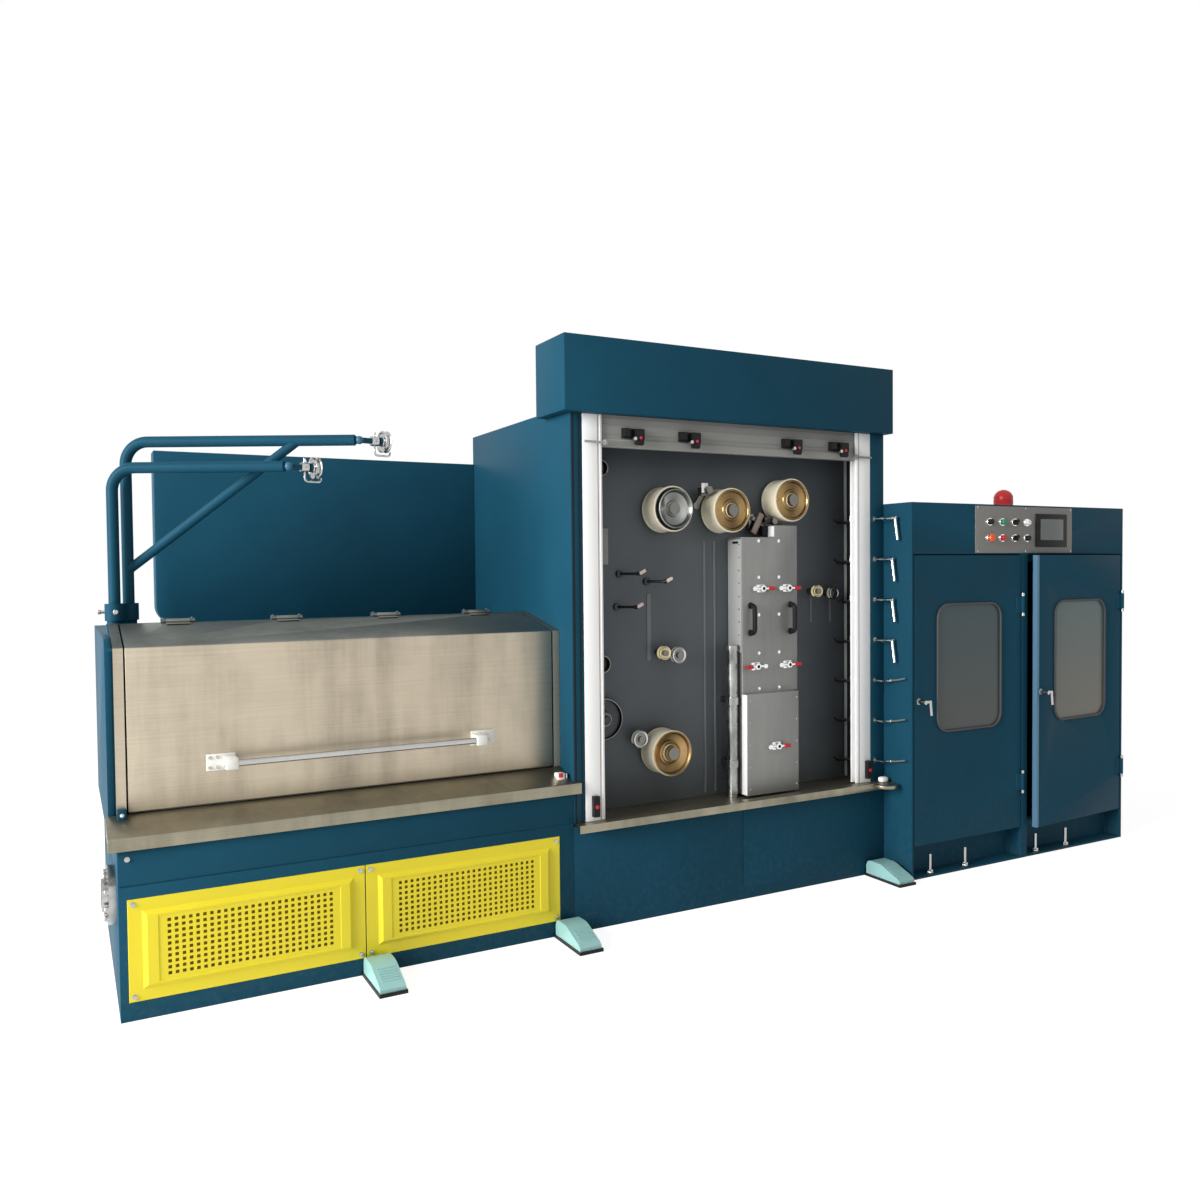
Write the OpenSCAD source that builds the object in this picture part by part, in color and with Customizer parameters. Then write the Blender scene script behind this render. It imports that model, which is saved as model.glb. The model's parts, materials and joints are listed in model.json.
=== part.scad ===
// Wire drawing machine with annealer and double spooler. Millimetres.
// X runs along the machine, Y away from the operator, Z up from the floor.

/* [Drawing unit] */
// length of the drawing unit
draw_len = 1698; // [1500:1:2000]
// height of the drawing base under the drip apron
base_h = 579; // [500:1:660]
// depth of the drawing unit
draw_depth = 1200; // [1150:1:1400]
// height of the housing roof behind the cover
roof_h = 1280; // [1230:1:1330]
// height of the hinge line of the cover
hinge_h = 1316; // [1290:1:1360]
// height of the rear hood
hood_h = 2036; // [1900:1:2140]
// distance of the cover face behind the front plane
cover_set = 120; // [100:1:150]
// thickness of the cover sheet
cover_t = 6; // [4:1:8]
// height of the lower edge of the yellow guards
guard_z0 = 65; // [50:1:90]
// height of each yellow guard
guard_h = 347; // [300:1:380]
// how far the guard field stands out
guard_proud = 16; // [10:1:24]
// radius of the coolant flange
flange_r = 103; // [90:1:120]
// radius of the coolant spigot
spigot_r = 58; // [52:1:70]
// radius of the coolant socket
socket_r = 44; // [30:1:48]
// how far the apron lip stands out at the front
lip_out = 15; // [10:1:25]
// height of the apron lip
lip_h = 44; // [30:1:60]

/* [Infeed jibs] */
// radius of the jib tubes
jib_r = 21; // [17:1:24]
// height of the lower jib arm
jib_low_h = 1900; // [1840:1:1920]
// height of the upper jib arm
jib_high_h = 2005; // [1980:1:2100]
// length of the lower jib arm
jib_low_reach = 648; // [560:1:700]
// length of the upper jib arm
jib_high_reach = 878; // [780:1:940]
// angle of the jibs toward the operator
jib_swing = 28; // [20:1:40]
// radius of the jib pulleys
jib_wheel_r = 42; // [34:1:46]
// angle of the pulley axles to the jib arms
axle_turn = 40; // [25:1:50]

/* [Annealer] */
// length of the annealer cabinet
ann_len = 1709; // [1600:1:1900]
// depth of the annealer cabinet
ann_depth = 1095; // [950:1:1150]
// height of the annealer cabinet
ann_h = 2145; // [2050:1:2300]
// height of the annealer base under the sill
ann_base_h = 440; // [400:1:480]
// width of the left front post
post_w = 55; // [45:1:70]
// width of the right front post
post_r_w = 87; // [75:1:100]
// width of each white guide rail
rail_w = 93; // [80:1:105]
// distance of the mounting plate behind the front plane
plate_set = 190; // [185:1:215]
// height of the shutter box
box_h = 308; // [270:1:340]
// depth of the shutter box
box_d = 275; // [240:1:300]
// how far the shutter box stands out at the front
box_out = 49; // [40:1:70]
// how far the shutter box overhangs the left side
box_over = 47; // [30:1:60]
// how far the roof behind the shutter box stands above its underside
roof_rise = 27; // [10:1:40]
// height of the shutter bottom bar
bar_h = 133; // [110:1:150]
// radius of the contact sheaves
sheave_r = 101; // [90:1:108]
// length of the contact sheaves
sheave_l = 105; // [90:1:112]
// radius of the sheave studs
stud_r = 18; // [14:1:20]
// width of the annealing chamber
cham_w = 323; // [290:1:340]
// depth of the annealing chamber
cham_d = 110; // [95:1:115]

/* [Spooler] */
// length of the spooler cabinet
spool_len = 1573; // [1500:1:1800]
// height of the spooler cabinet
spool_h = 1808; // [1740:1:1900]
// how far the spooler stands out at the front
spool_out = 183; // [170:1:220]
// depth of the spooler cabinet
spool_d = 1183; // [1000:1:1300]
// height of the recessed plinth
kick_h = 155; // [130:1:170]
// height of the fascia that carries the control panel
fascia_h = 247; // [240:1:270]
// width of the centre post between the doors
mid_w = 46; // [40:1:60]
// thickness of the doors
door_t = 26; // [22:1:32]
// width of the door windows
win_w = 434; // [380:1:480]
// height of the door windows
win_h = 613; // [540:1:660]
// corner radius of the door windows
win_r = 70; // [40:1:90]
// radius of the beacon lens
beacon_r = 52; // [40:1:60]
// height of the beacon
beacon_h = 106; // [90:1:125]
// angle at which the right door stands ajar
ajar = 4; // [0:1:6]

/* [Foot pedals] */
// width of a foot pedal
pedal_w = 104; // [90:1:120]
// length of a foot pedal
pedal_l = 215; // [190:1:240]
// height of a foot pedal
pedal_h = 78; // [65:1:95]

/* [Hidden] */
$fn = 64;
gap = 6;
pin_r = 5;
pin_fit = 0.06;
lug_r = 5.9;
barrel_r = 9.4;
ann_x0 = draw_len;
ann_x1 = draw_len + ann_len;
spool_x0 = ann_x1;
spool_x1 = spool_x0 + spool_len;
ref_x = ann_x0 + ann_len/2;
ref_y = ann_depth/2;
front_s = -spool_out;
back_s = spool_d - spool_out;
// drawing chamber
end_t = 38;
end_r_t = 31;
cov_x0 = end_t + gap;
cov_x1 = draw_len - end_r_t - gap;
hinge_y = cover_set + 333;
cov_bot = base_h + lip_h + 58;
bend_h = hinge_h - 69;
lip_top = base_h + lip_h;
apron_back = cov_bot - gap - 1;
hinge_n = 4;
function cov_hinge(i) = cov_x0 + (i + 0.5)*(cov_x1 - cov_x0)/hinge_n;
hood_x0 = 220;
hood_y0 = draw_depth - 119;
flange_y = 210;
flange_z = base_h - 199;
// guards
guard_x0 = 27;
guard_w = (draw_len - 2*guard_x0 - 37)/2;
// rise of the cover's slope for each millimetre of depth
roof_fall = (hinge_h - bend_h)/(hinge_y + 4 - cover_set);
// jib posts
post_a = [33, hinge_y + 68];
post_b = [84, hinge_y + 118];
collar_h = 110;
brace_r = 18;
brace_low = roof_h + 240;
brace_at = 0.752*jib_high_reach;
axle_r = 8;
axle_l = 106;
wheel_w = 26;
// annealer opening
open_x0 = ann_x0 + post_w;
open_x1 = ann_x1 - post_r_w;
rail_d = 40;
sill_h = 14;
sill_top = ann_base_h + sill_h;
open_h = ann_h - sill_top;
sheave_y = plate_set - 15;
stud_len = 15 + sheave_l;
sheaves = [
  [ann_x0 + 0.317*ann_len, sill_top + 0.776*open_h],
  [ann_x0 + 0.5015*ann_len, sill_top + 0.776*open_h],
  [ann_x0 + 0.7034*ann_len, sill_top + 0.808*open_h],
  [ann_x0 + 0.3084*ann_len, sill_top + 0.137*open_h],
];
pulleys = [
  [ann_x0 + 0.819*ann_len, sill_top + 0.5517*open_h, 28],
  [ann_x0 + 0.878*ann_len, sill_top + 0.5452*open_h, 30],
  [ann_x0 + 0.306*ann_len, sill_top + 0.398*open_h, 30],
  [ann_x0 + 0.3493*ann_len, sill_top + 0.3903*open_h, 37],
  [ann_x0 + 0.2311*ann_len, sill_top + 0.1762*open_h, 38],
];
pul_w = 26;
pul_y = plate_set - 45;
pul_stud_r = 9;
// annealing chamber
cham_x0 = ann_x0 + 0.5348*ann_len;
cham_x1 = cham_x0 + cham_w;
cham_top = sill_top + 0.7043*open_h;
cham_step = sill_top + 0.7374*open_h;
cham_split = sill_top + 0.278*open_h;
cham_y0 = plate_set - cham_d;
low_y0 = cham_y0 - 40;
// hooks
hook_n = 7;
hook_z0 = sill_top + 0.0615*open_h;
hook_z1 = sill_top + 0.7575*open_h;
// spooler doors
door_z0 = kick_h + gap;
door_z1 = spool_h - fascia_h - gap;
door_h = door_z1 - door_z0;
side_w = 14;
kick_d = 90;
sole_t = 10;
bolt_h = 0.6*kick_h;
mid_x = spool_x0 + spool_len/2;
door_w = (spool_len - 2*side_w - mid_w - 4*gap)/2;
door_a = spool_x0 + side_w + gap;
door_b = spool_x1 - side_w - gap - door_w;
win_z = door_z0 + 0.388*door_h;
knuckle_y = front_s - 10.5;
knuckle_r = 9;
knuckle_h = 84;
hinge_z = [door_z0 + 0.17*door_h, door_z0 + 0.82*door_h];
panel_x0 = spool_x0 + 0.27*spool_len;
panel_w = 0.458*spool_len;
panel_z0 = spool_h - fascia_h + 5;
panel_h = fascia_h - 13;
// pedals
pedal_x = [0.508*draw_len, 0.974*draw_len, ann_x1 - 0.044*ann_len];

module place() {
  translate([-ref_x, -ref_y, 0]) children();
}

module block(x0, x1, y0, y1, z0, z1) {
  translate([x0, y0, z0]) cube([x1 - x0, y1 - y0, z1 - z0]);
}

module rod_x(x0, x1, y, z, r) {
  translate([x0, y, z]) rotate([0, 90, 0]) cylinder(r = r, h = x1 - x0);
}

module rod_y(x, y0, y1, z, r) {
  translate([x, y1, z]) rotate([90, 0, 0]) cylinder(r = r, h = y1 - y0);
}

module rod_z(x, y, z0, z1, r) {
  translate([x, y, z0]) cylinder(r = r, h = z1 - z0);
}

// a profile drawn in Y and Z, drawn out along X
module along_x(x0, x1) {
  translate([x0, 0, 0]) rotate([90, 0, 90]) linear_extrude(height = x1 - x0) children();
}

// a profile drawn in X and Z, drawn out along Y
module along_y(y0, y1) {
  translate([0, y1, 0]) rotate([90, 0, 0]) linear_extrude(height = y1 - y0) children();
}

// a turned shape on an axis that points at the operator
module turned(x, y, z) {
  translate([x, y, z]) rotate([90, 0, 0]) rotate_extrude() children();
}

module rounded(w, h, r) {
  translate([-w/2 + r, -h/2]) square([w - 2*r, h]);
  translate([-w/2, -h/2 + r]) square([w, h - 2*r]);
  for (sx = [-1, 1]) {
    for (sz = [-1, 1]) {
      translate([sx*(w/2 - r), sz*(h/2 - r)]) circle(r = r);
    }
  }
}

module drawing_base() {
  color("teal")
  difference() {
    block(0, draw_len, 0, draw_depth, 0, base_h);
    block(-1, draw_len + 1, -1, 3, base_h - 124, base_h - 120);
    block(-1, 3, -1, draw_depth - 40, base_h - 124, base_h - 120);
  }
}

// a raised field with four sloped sides, made where two long prisms cross
module guard_field(x0, x1, z0, z1, grow) {
  s = guard_proud + grow;
  intersection() {
    along_x(x0 - 1, x1 + 1)
      polygon([[0, z0], [0, z1], [-s, z1 - s], [-s, z0 + s]]);
    translate([0, 0, z0 - 1])
      linear_extrude(height = z1 - z0 + 2)
        polygon([[x0, 0], [x1, 0], [x1 - s, -s], [x0 + s, -s]]);
  }
}

module one_guard(x0) {
  x1 = x0 + guard_w - 4;
  z1 = guard_z0 + guard_h;
  block(x0, x1, -3, 0, guard_z0, z1);
  guard_field(x0 + 46, x1 - 46, guard_z0 + 42, z1 - 42, 0);
}

module guard_panels() {
  color("gold") {
    one_guard(guard_x0);
    one_guard(guard_x0 + guard_w);
  }
}

module drip_apron() {
  color("silver")
  difference() {
    along_x(-28, draw_len + 31)
      polygon([[-lip_out, base_h], [-lip_out, lip_top], [cover_set, apron_back],
        [cover_set, base_h]]);
    block(draw_len, draw_len + 40, -0.5, cover_set + 1, base_h - 1, lip_top + 200);
    block(-29, -3, 0, cover_set + 1, base_h - 1, base_h + 26);
  }
}

module housing_side() {
  polygon([[cover_set + 4, base_h], [cover_set + 4, bend_h], [hinge_y + 8, hinge_h],
    [hinge_y + 30, hinge_h], [hinge_y + 30, roof_h], [draw_depth, roof_h], [draw_depth, base_h]]);
}

module chamber_housing() {
  color("teal") {
    difference() {
      along_x(0, draw_len) housing_side();
      along_x(end_t, draw_len - end_r_t)
        polygon([[cover_set - 1, apron_back - 40], [cover_set - 1, hinge_h + 40],
          [hinge_y + 8, hinge_h + 40], [hinge_y + 8, hinge_h - 40], [hinge_y + 200, roof_h - 30],
          [hinge_y + 200, apron_back - 40]]);
    }
    along_x(-20, 0) {
      square_from = cover_set;
      translate([square_from + 60, base_h]) square([draw_depth - square_from - 60, roof_h - base_h]);
      translate([square_from, base_h]) square([61, roof_h - base_h - 60]);
      translate([square_from + 60, roof_h - 60]) circle(r = 60);
    }
  }
}

module chamber_jambs() {
  color("silver")
  for (x = [[6, end_t], [draw_len - end_r_t, draw_len - 1]]) {
    along_x(x[0], x[1])
      polygon([[cover_set, apron_back + 1], [cover_set, bend_h + 1], [hinge_y - 4, hinge_h + 2],
        [hinge_y - 4, hinge_h - 12*roof_fall + 0.05], [cover_set + 4, bend_h + 0.05],
        [cover_set + 4, apron_back + 1]]);
  }
}

module rear_hood() {
  r = 80;
  color("teal")
  along_y(hood_y0, draw_depth) {
    translate([hood_x0 + r, roof_h]) square([draw_len - hood_x0 - r, hood_h - roof_h]);
    translate([hood_x0, roof_h + r]) square([r + 1, hood_h - roof_h - r]);
    translate([hood_x0 + r, roof_h + r]) circle(r = r);
  }
}

module cover_hinges() {
  color("silver")
  for (i = [0 : hinge_n - 1]) {
    rod_x(cov_hinge(i) - 48, cov_hinge(i) + 48, hinge_y, hinge_h + 6, pin_r);
    for (s = [-1, 1]) {
      translate([cov_hinge(i) + s*52 - 8, hinge_y, hinge_h]) cube([16, 26, 15]);
      rod_x(cov_hinge(i) + s*52 - 8, cov_hinge(i) + s*52 + 8, hinge_y, hinge_h + 6, lug_r);
    }
  }
}

module chamber_cover() {
  bh = bend_h;
  color("silver")
  difference() {
    union() {
      along_x(cov_x0, cov_x1)
        polygon([[cover_set, cov_bot], [cover_set, bh], [hinge_y - 2, hinge_h],
          [hinge_y - 2, hinge_h - cover_t], [cover_set + cover_t, bh - cover_t*0.8],
          [cover_set + cover_t, cov_bot]]);
      for (x = [cov_x0, cov_x1 - cover_t]) {
        along_x(x, x + cover_t)
          polygon([[cover_set, cov_bot], [cover_set, bh], [hinge_y - 2, hinge_h],
            [hinge_y - 2, hinge_h - 36], [cover_set + 46, bh - 44], [cover_set + 46, cov_bot]]);
      }
      for (i = [0 : hinge_n - 1]) {
        rod_x(cov_hinge(i) - 42, cov_hinge(i) + 42, hinge_y, hinge_h + 6, barrel_r);
        translate([cov_hinge(i) - 42, hinge_y - 40, hinge_h - 5]) cube([84, 40, 5]);
      }
    }
    for (i = [0 : hinge_n - 1]) {
      rod_x(cov_hinge(i) - 60, cov_hinge(i) + 60, hinge_y, hinge_h + 6, pin_r + pin_fit);
    }
  }
}

module cover_handle() {
  z = cov_bot + 146;
  x0 = cov_x0 + 0.19*(cov_x1 - cov_x0);
  x1 = cov_x0 + 0.803*(cov_x1 - cov_x0);
  y = cover_set - 62;
  color("white") {
    rod_x(x0, x1, y, z, 12);
    for (x = [x0 + 12, x1 - 40]) {
      block(x, x + 28, y - 14, cover_set, z - 15, z + 15);
      block(x - 14, x + 42, cover_set - 6, cover_set, z - 34, z + 34);
    }
  }
}

module jib_bracket() {
  color("teal")
  difference() {
    union() {
      for (p = [post_a, post_b]) {
        rod_z(p[0], p[1], roof_h, roof_h + 47, jib_r + 7);
        rod_z(p[0], p[1], roof_h + 46, roof_h + collar_h, jib_r + 14);
      }
      translate([(post_a[0] + post_b[0])/2, (post_a[1] + post_b[1])/2, roof_h])
        rotate([0, 0, atan2(post_b[1] - post_a[1], post_b[0] - post_a[0])])
          translate([-20, -20, 0]) cube([40, 40, collar_h - 8]);
    }
    for (p = [post_a, post_b]) {
      rod_z(p[0], p[1], roof_h + 12, roof_h + collar_h + 1, jib_r + pin_fit);
    }
  }
}

// places its children at the ball joint, with X along the pulley axle
module at_axle(h, reach) {
  translate([reach + 16, 0, h]) rotate([0, 0, axle_turn]) children();
}

// a post bent over into an arm, with a ball end that carries the pulley axle
module bent_tube(h, reach) {
  bend = 85;
  rod_z(0, 0, roof_h + 14, h - bend, jib_r);
  translate([bend, 0, h - bend])
    rotate([90, 0, 0])
      rotate([0, 0, 90])
        rotate_extrude(angle = 90)
          translate([bend, 0]) circle(r = jib_r);
  rod_x(bend, reach, 0, h, jib_r);
  rod_x(reach - 1, reach + 5, 0, h, jib_r - 5);
  translate([reach + 16, 0, h]) sphere(r = 15);
  at_axle(h, reach) {
    rod_x(0, axle_l - wheel_w/2 - 8, 0, 0, axle_r + 3);
    rod_x(axle_l - wheel_w/2 - 9, axle_l - wheel_w/2 - 1, 0, 0, axle_r + 9);
    rod_x(axle_l - wheel_w/2 - 2, axle_l + wheel_w/2 + 2, 0, 0, axle_r);
    rod_x(axle_l + wheel_w/2 + 1, axle_l + wheel_w/2 + 11, 0, 0, axle_r + 5);
  }
}

module swung(p) {
  translate([p[0], p[1], 0]) rotate([0, 0, -jib_swing]) children();
}

module lower_jib() {
  color("teal") swung(post_a) bent_tube(jib_low_h, jib_low_reach);
}

module upper_jib() {
  dx = brace_at - 6;
  dz = jib_high_h - brace_low;
  color("teal") swung(post_b) {
    bent_tube(jib_high_h, jib_high_reach);
    translate([6, 0, brace_low])
      rotate([0, atan2(dx, dz), 0])
        cylinder(r = brace_r, h = sqrt(dx*dx + dz*dz));
  }
}

// grooved wheel turned about its axle
module jib_wheel(h, reach) {
  r = jib_wheel_r;
  w = wheel_w;
  b = axle_r + pin_fit;
  at_axle(h, reach)
    translate([axle_l - w/2, 0, 0])
      rotate([0, 90, 0])
        rotate([0, 0, 45])
        rotate_extrude()
          polygon([[b, 0], [b + 10, 0], [b + 12, 3], [r - 10, 3], [r - 6, 0], [r, 2], [r, 5],
            [r - 9, w/2 - 2], [r - 9, w/2 + 2], [r, w - 5], [r, w - 2], [r - 6, w], [r - 10, w - 3],
            [b + 12, w - 3], [b + 10, w], [b, w]]);
}

module lower_jib_pulley() {
  color("silver") swung(post_a) jib_wheel(jib_low_h, jib_low_reach);
}

module upper_jib_pulley() {
  color("silver") swung(post_b) jib_wheel(jib_high_h, jib_high_reach);
}

module coolant_flange() {
  color("silver")
  difference() {
    union() {
      rod_x(-24, 0, flange_y, flange_z, flange_r);
      rod_x(-44, -23, flange_y, flange_z, spigot_r);
    }
    rod_x(-45, -20, flange_y, flange_z, socket_r);
  }
}

module annealer_base() {
  color("teal")
  difference() {
    block(ann_x0, ann_x1, 0, ann_depth, 0, ann_base_h);
    block(ann_x0 + ann_len/2 - 3, ann_x0 + ann_len/2 + 3, -1, 3, 60, ann_base_h - 30);
  }
}

module sill_tray() {
  color("silver")
  difference() {
    union() {
      block(ann_x0 + 4, ann_x1 - 2, -50, plate_set, ann_base_h, sill_top);
      block(ann_x0 + 4, ann_x1 - 2, -50, -46, ann_base_h - 18, sill_top + 1);
      block(ann_x1 - 90, ann_x1 - 2, -70, -49, ann_base_h, sill_top);
      rod_z(ann_x1 - 62, -74, ann_base_h, sill_top, 60);
    }
    block(open_x0, open_x1, 2, plate_set + 1, ann_base_h + 4, sill_top + 1);
    block(ann_x1 - 2, ann_x1 + 60, -200, 0, ann_base_h - 20, sill_top + 1);
  }
}

module annealer_cabinet() {
  z0 = ann_base_h;
  color("teal") {
    block(ann_x0, ann_x1, plate_set + 10, ann_depth, z0, ann_h);
    block(ann_x0, ann_x1, box_d - box_out, ann_depth, ann_h - 1, ann_h + roof_rise);
    block(ann_x0, open_x0, 0, plate_set + 10, sill_top, ann_h);
    block(open_x1, ann_x1, 0, plate_set + 10, sill_top, ann_h);
    block(ann_x0, ann_x1, rail_d, plate_set + 10, ann_h - 40, ann_h);
  }
}

module mounting_plate() {
  color("dimgray")
  block(open_x0, open_x1, plate_set, plate_set + 10, ann_base_h + 4, ann_h - 40);
}

module shutter_box() {
  color("teal")
  difference() {
    block(ann_x0 - box_over, ann_x1 + 15, -box_out, box_d - box_out, ann_h, ann_h + box_h);
    block(open_x0 + 2, open_x1 - 2, 6, 34, ann_h - 1, ann_h + 0.292*box_h);
  }
}

module shutter_bar() {
  x0 = open_x0 + rail_w;
  x1 = open_x1 - rail_w;
  stub_l = 0.946*rail_w;
  color("gray") {
    block(x0 - 12, x1 + 12, 12, 28, ann_h - bar_h + 30, ann_h + 0.195*box_h);
    block(x0, x1, 4, 34, ann_h - bar_h, ann_h - bar_h + 34);
    for (x = [[x0 - stub_l, x0 + 12, x0 + 4], [x1 - 12, x1 + stub_l, x1 - 20]]) {
      rod_x(x[0], x[1], -14, ann_h - bar_h + 16, 5);
      block(x[2], x[2] + 16, -22, 6, ann_h - bar_h + 6, ann_h - bar_h + 26);
    }
  }
}

// latch blocks on the shutter bar and catches low on the rails
module shutter_latches() {
  x0 = open_x0 + rail_w;
  w = open_x1 - open_x0 - 2*rail_w;
  z = ann_h - bar_h;
  color("black") {
    for (f = [0.105, 0.31, 0.716, 0.918]) {
      block(x0 + f*w - 46, x0 + f*w + 46, -2, 12, z + 40, z + 82);
      block(x0 + f*w - 46, x0 + f*w - 22, -24, -1, z + 46, z + 80);
      block(x0 + f*w + 2, x0 + f*w + 42, -34, -1, z + 34, z + 78);
      rod_x(x0 + f*w + 6, x0 + f*w + 38, -22, z + 24, 14);
    }
    for (x = [open_x0 + 0.47*rail_w, open_x1 - 0.24*rail_w]) {
      block(x - 14, x + 14, -22, 0, sill_top + 20, sill_top + 106);
    }
  }
}

module one_rail(x0, x1, side) {
  difference() {
    block(x0, x1, 0, rail_d, sill_top, ann_h);
    if (side > 0) {
      block(x1 - 30, x1 + 1, 9, 31, sill_top - 1, ann_h + 1);
    } else {
      block(x0 - 1, x0 + 30, 9, 31, sill_top - 1, ann_h + 1);
    }
  }
}

module guide_rails() {
  color("white") {
    one_rail(open_x0, open_x0 + rail_w, 1);
    one_rail(open_x1 - rail_w, open_x1, -1);
  }
}

module pulley_studs() {
  color("silver") {
    for (s = sheaves) {
      rod_y(s[0], plate_set - stud_len - 6, plate_set, s[1], stud_r);
      rod_y(s[0], sheave_y + 1, plate_set, s[1], stud_r + 24);
      rod_y(s[0], plate_set - stud_len - 12, plate_set - stud_len - 1, s[1], stud_r + 9);
    }
    for (p = pulleys) {
      rod_y(p[0], pul_y - pul_w - 4, plate_set, p[1], pul_stud_r);
      rod_y(p[0], pul_y + 1, plate_set, p[1], pul_stud_r + 6);
      rod_y(p[0], pul_y - pul_w - 9, pul_y - pul_w - 1, p[1], pul_stud_r + 5);
    }
  }
}

// drum with a shallow seat in front for its face plate
module drum(i, seat) {
  r = sheave_r;
  l = sheave_l;
  b = stud_r + pin_fit;
  turned(sheaves[i][0], sheave_y, sheaves[i][1])
    polygon([[b, 0], [r, 0], [r, 7], [r - 2, 9], [r - 2, l - 9], [r, l - 7], [r, l - 2], [r - 2, l],
      [r - 11, l], [r - 13, l - 3], [r - 13, l - seat], [b + 16, l - seat], [b + 14, l - 2], [b, l - 2]]);
}

module dish(i) {
  r = sheave_r;
  l = sheave_l;
  b = stud_r + pin_fit;
  turned(sheaves[i][0], sheave_y, sheaves[i][1])
    polygon([[b, 0], [r, 0], [r, 7], [r - 2, 9], [r - 2, l - 9], [r, l - 7], [r, l - 2], [r - 2, l],
      [r - 8, l], [r - 11, l - 3], [r - 24, l - 50], [b + 26, l - 56], [b + 18, l - 20], [b + 14, l - 2],
      [b, l - 2]]);
}

module contact_sheave_1() {
  color("wheat") drum(0, 22);
}

module contact_sheave_2() {
  color("wheat") drum(1, 12);
}

module contact_sheave_3() {
  color("wheat") drum(2, 12);
}

module contact_sheave_4() {
  color("wheat") dish(3);
}

module small_pulley(i) {
  r = pulleys[i][2];
  b = pul_stud_r + pin_fit;
  w = pul_w;
  turned(pulleys[i][0], pul_y, pulleys[i][1])
    polygon([[b, 0], [r, 0], [r, 4], [r - 8, w/2 - 2], [r - 8, w/2 + 2], [r, w - 4], [r, w], [b, w]]);
}

module guide_pulley_1() {
  color("goldenrod") small_pulley(0);
}

module guide_pulley_2() {
  color("silver") small_pulley(1);
}

module guide_pulley_3() {
  color("goldenrod") small_pulley(2);
}

module guide_pulley_4() {
  color("silver") small_pulley(3);
}

module guide_pulley_5() {
  color("silver") small_pulley(4);
}

module annealing_chamber() {
  x1 = cham_x1;
  color("silver") {
    block(cham_x0, x1, cham_y0, plate_set, cham_split, cham_top);
    block(cham_x0 + 0.59*cham_w, x1, cham_y0, plate_set, cham_top, cham_step);
    block(cham_x0, cham_x0 + 0.92*cham_w, low_y0, plate_set, sill_top, cham_split);
  }
}

module chamber_handles() {
  z0 = cham_split + 0.37*(cham_top - cham_split);
  z1 = z0 + 150;
  color("black")
  for (x = [cham_x0 + 0.15*cham_w, cham_x0 + 0.87*cham_w]) {
    rod_z(x, cham_y0 - 34, z0, z1, 11);
    for (z = [z0 + 12, z1 - 12]) {
      rod_y(x, cham_y0 - 34, cham_y0, z, 9);
    }
  }
}

module one_clamp(x, y, z, dir) {
  block(x - 22, x + 22, y - 8, y, z - 14, z + 14);
  block(x - 8, x + 8, y - 26, y - 7, z - 8, z + 8);
  rod_x(dir > 0 ? x : x - 52, dir > 0 ? x + 52 : x, y - 26, z, 7);
}

module toggle_clamps() {
  zt = cham_split + 0.67*(cham_top - cham_split);
  zm = cham_split + 0.17*(cham_top - cham_split);
  zb = sill_top + 0.47*(cham_split - sill_top);
  color("firebrick") {
    one_clamp(cham_x0 + 0.33*cham_w, cham_y0, zt, 1);
    one_clamp(cham_x0 + 0.80*cham_w, cham_y0, zt, 1);
    one_clamp(cham_x0 + 0.23*cham_w, cham_y0, zm, -1);
    one_clamp(cham_x0 + 0.80*cham_w, cham_y0, zm, 1);
    one_clamp(cham_x0 + 0.50*cham_w, low_y0, zb, 1);
  }
}

module sight_tube() {
  x = cham_x0 - 34;
  y = plate_set - 78;
  z1 = cham_split + 0.29*(cham_top - cham_split);
  color("silver") {
    rod_z(x, y, ann_base_h + 4, z1, 26);
    rod_z(x, y, z1 - 10, z1 + 14, 30);
    for (z = [sill_top + 130, sill_top + 420]) {
      rod_z(x, y, z, z + 34, 31);
      block(x - 12, x + 12, y + 10, plate_set, z + 4, z + 30);
    }
  }
}

module one_guide(fx, fz) {
  x = ann_x0 + fx*ann_len;
  z = sill_top + fz*open_h;
  rod_y(x, plate_set - 14, plate_set, z, 16);
  translate([x, plate_set - 8, z]) rotate([90, 0, 36]) cylinder(r = 6, h = 88);
  translate([x, plate_set - 8, z]) rotate([90, 0, 36]) translate([0, 0, 84]) cylinder(r = 9, h = 14);
}

module wire_guides() {
  disc_r = 0.055*ann_len;
  color("silver") {
    one_guide(0.192, 0.608);
    one_guide(0.273, 0.587);
    one_guide(0.184, 0.522);
    turned(ann_x0 + 0.1376*ann_len, plate_set, sill_top + 0.2325*open_h)
      polygon([[0, 0], [disc_r, 0], [disc_r, 26], [disc_r - 8, 26], [disc_r - 10, 14], [40, 14], [36, 40], [16, 40], [14, 52],
        [0, 52]]);
    for (q = [[0.3755, 40], [0.88, 36]]) {
      turned(ann_x0 + 0.1335*ann_len, plate_set, sill_top + q[0]*open_h)
        polygon([[0, 0], [q[1], 0], [q[1], 30], [q[1] - 7, 30], [q[1] - 9, 12], [0, 12]]);
    }
  }
}

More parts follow.
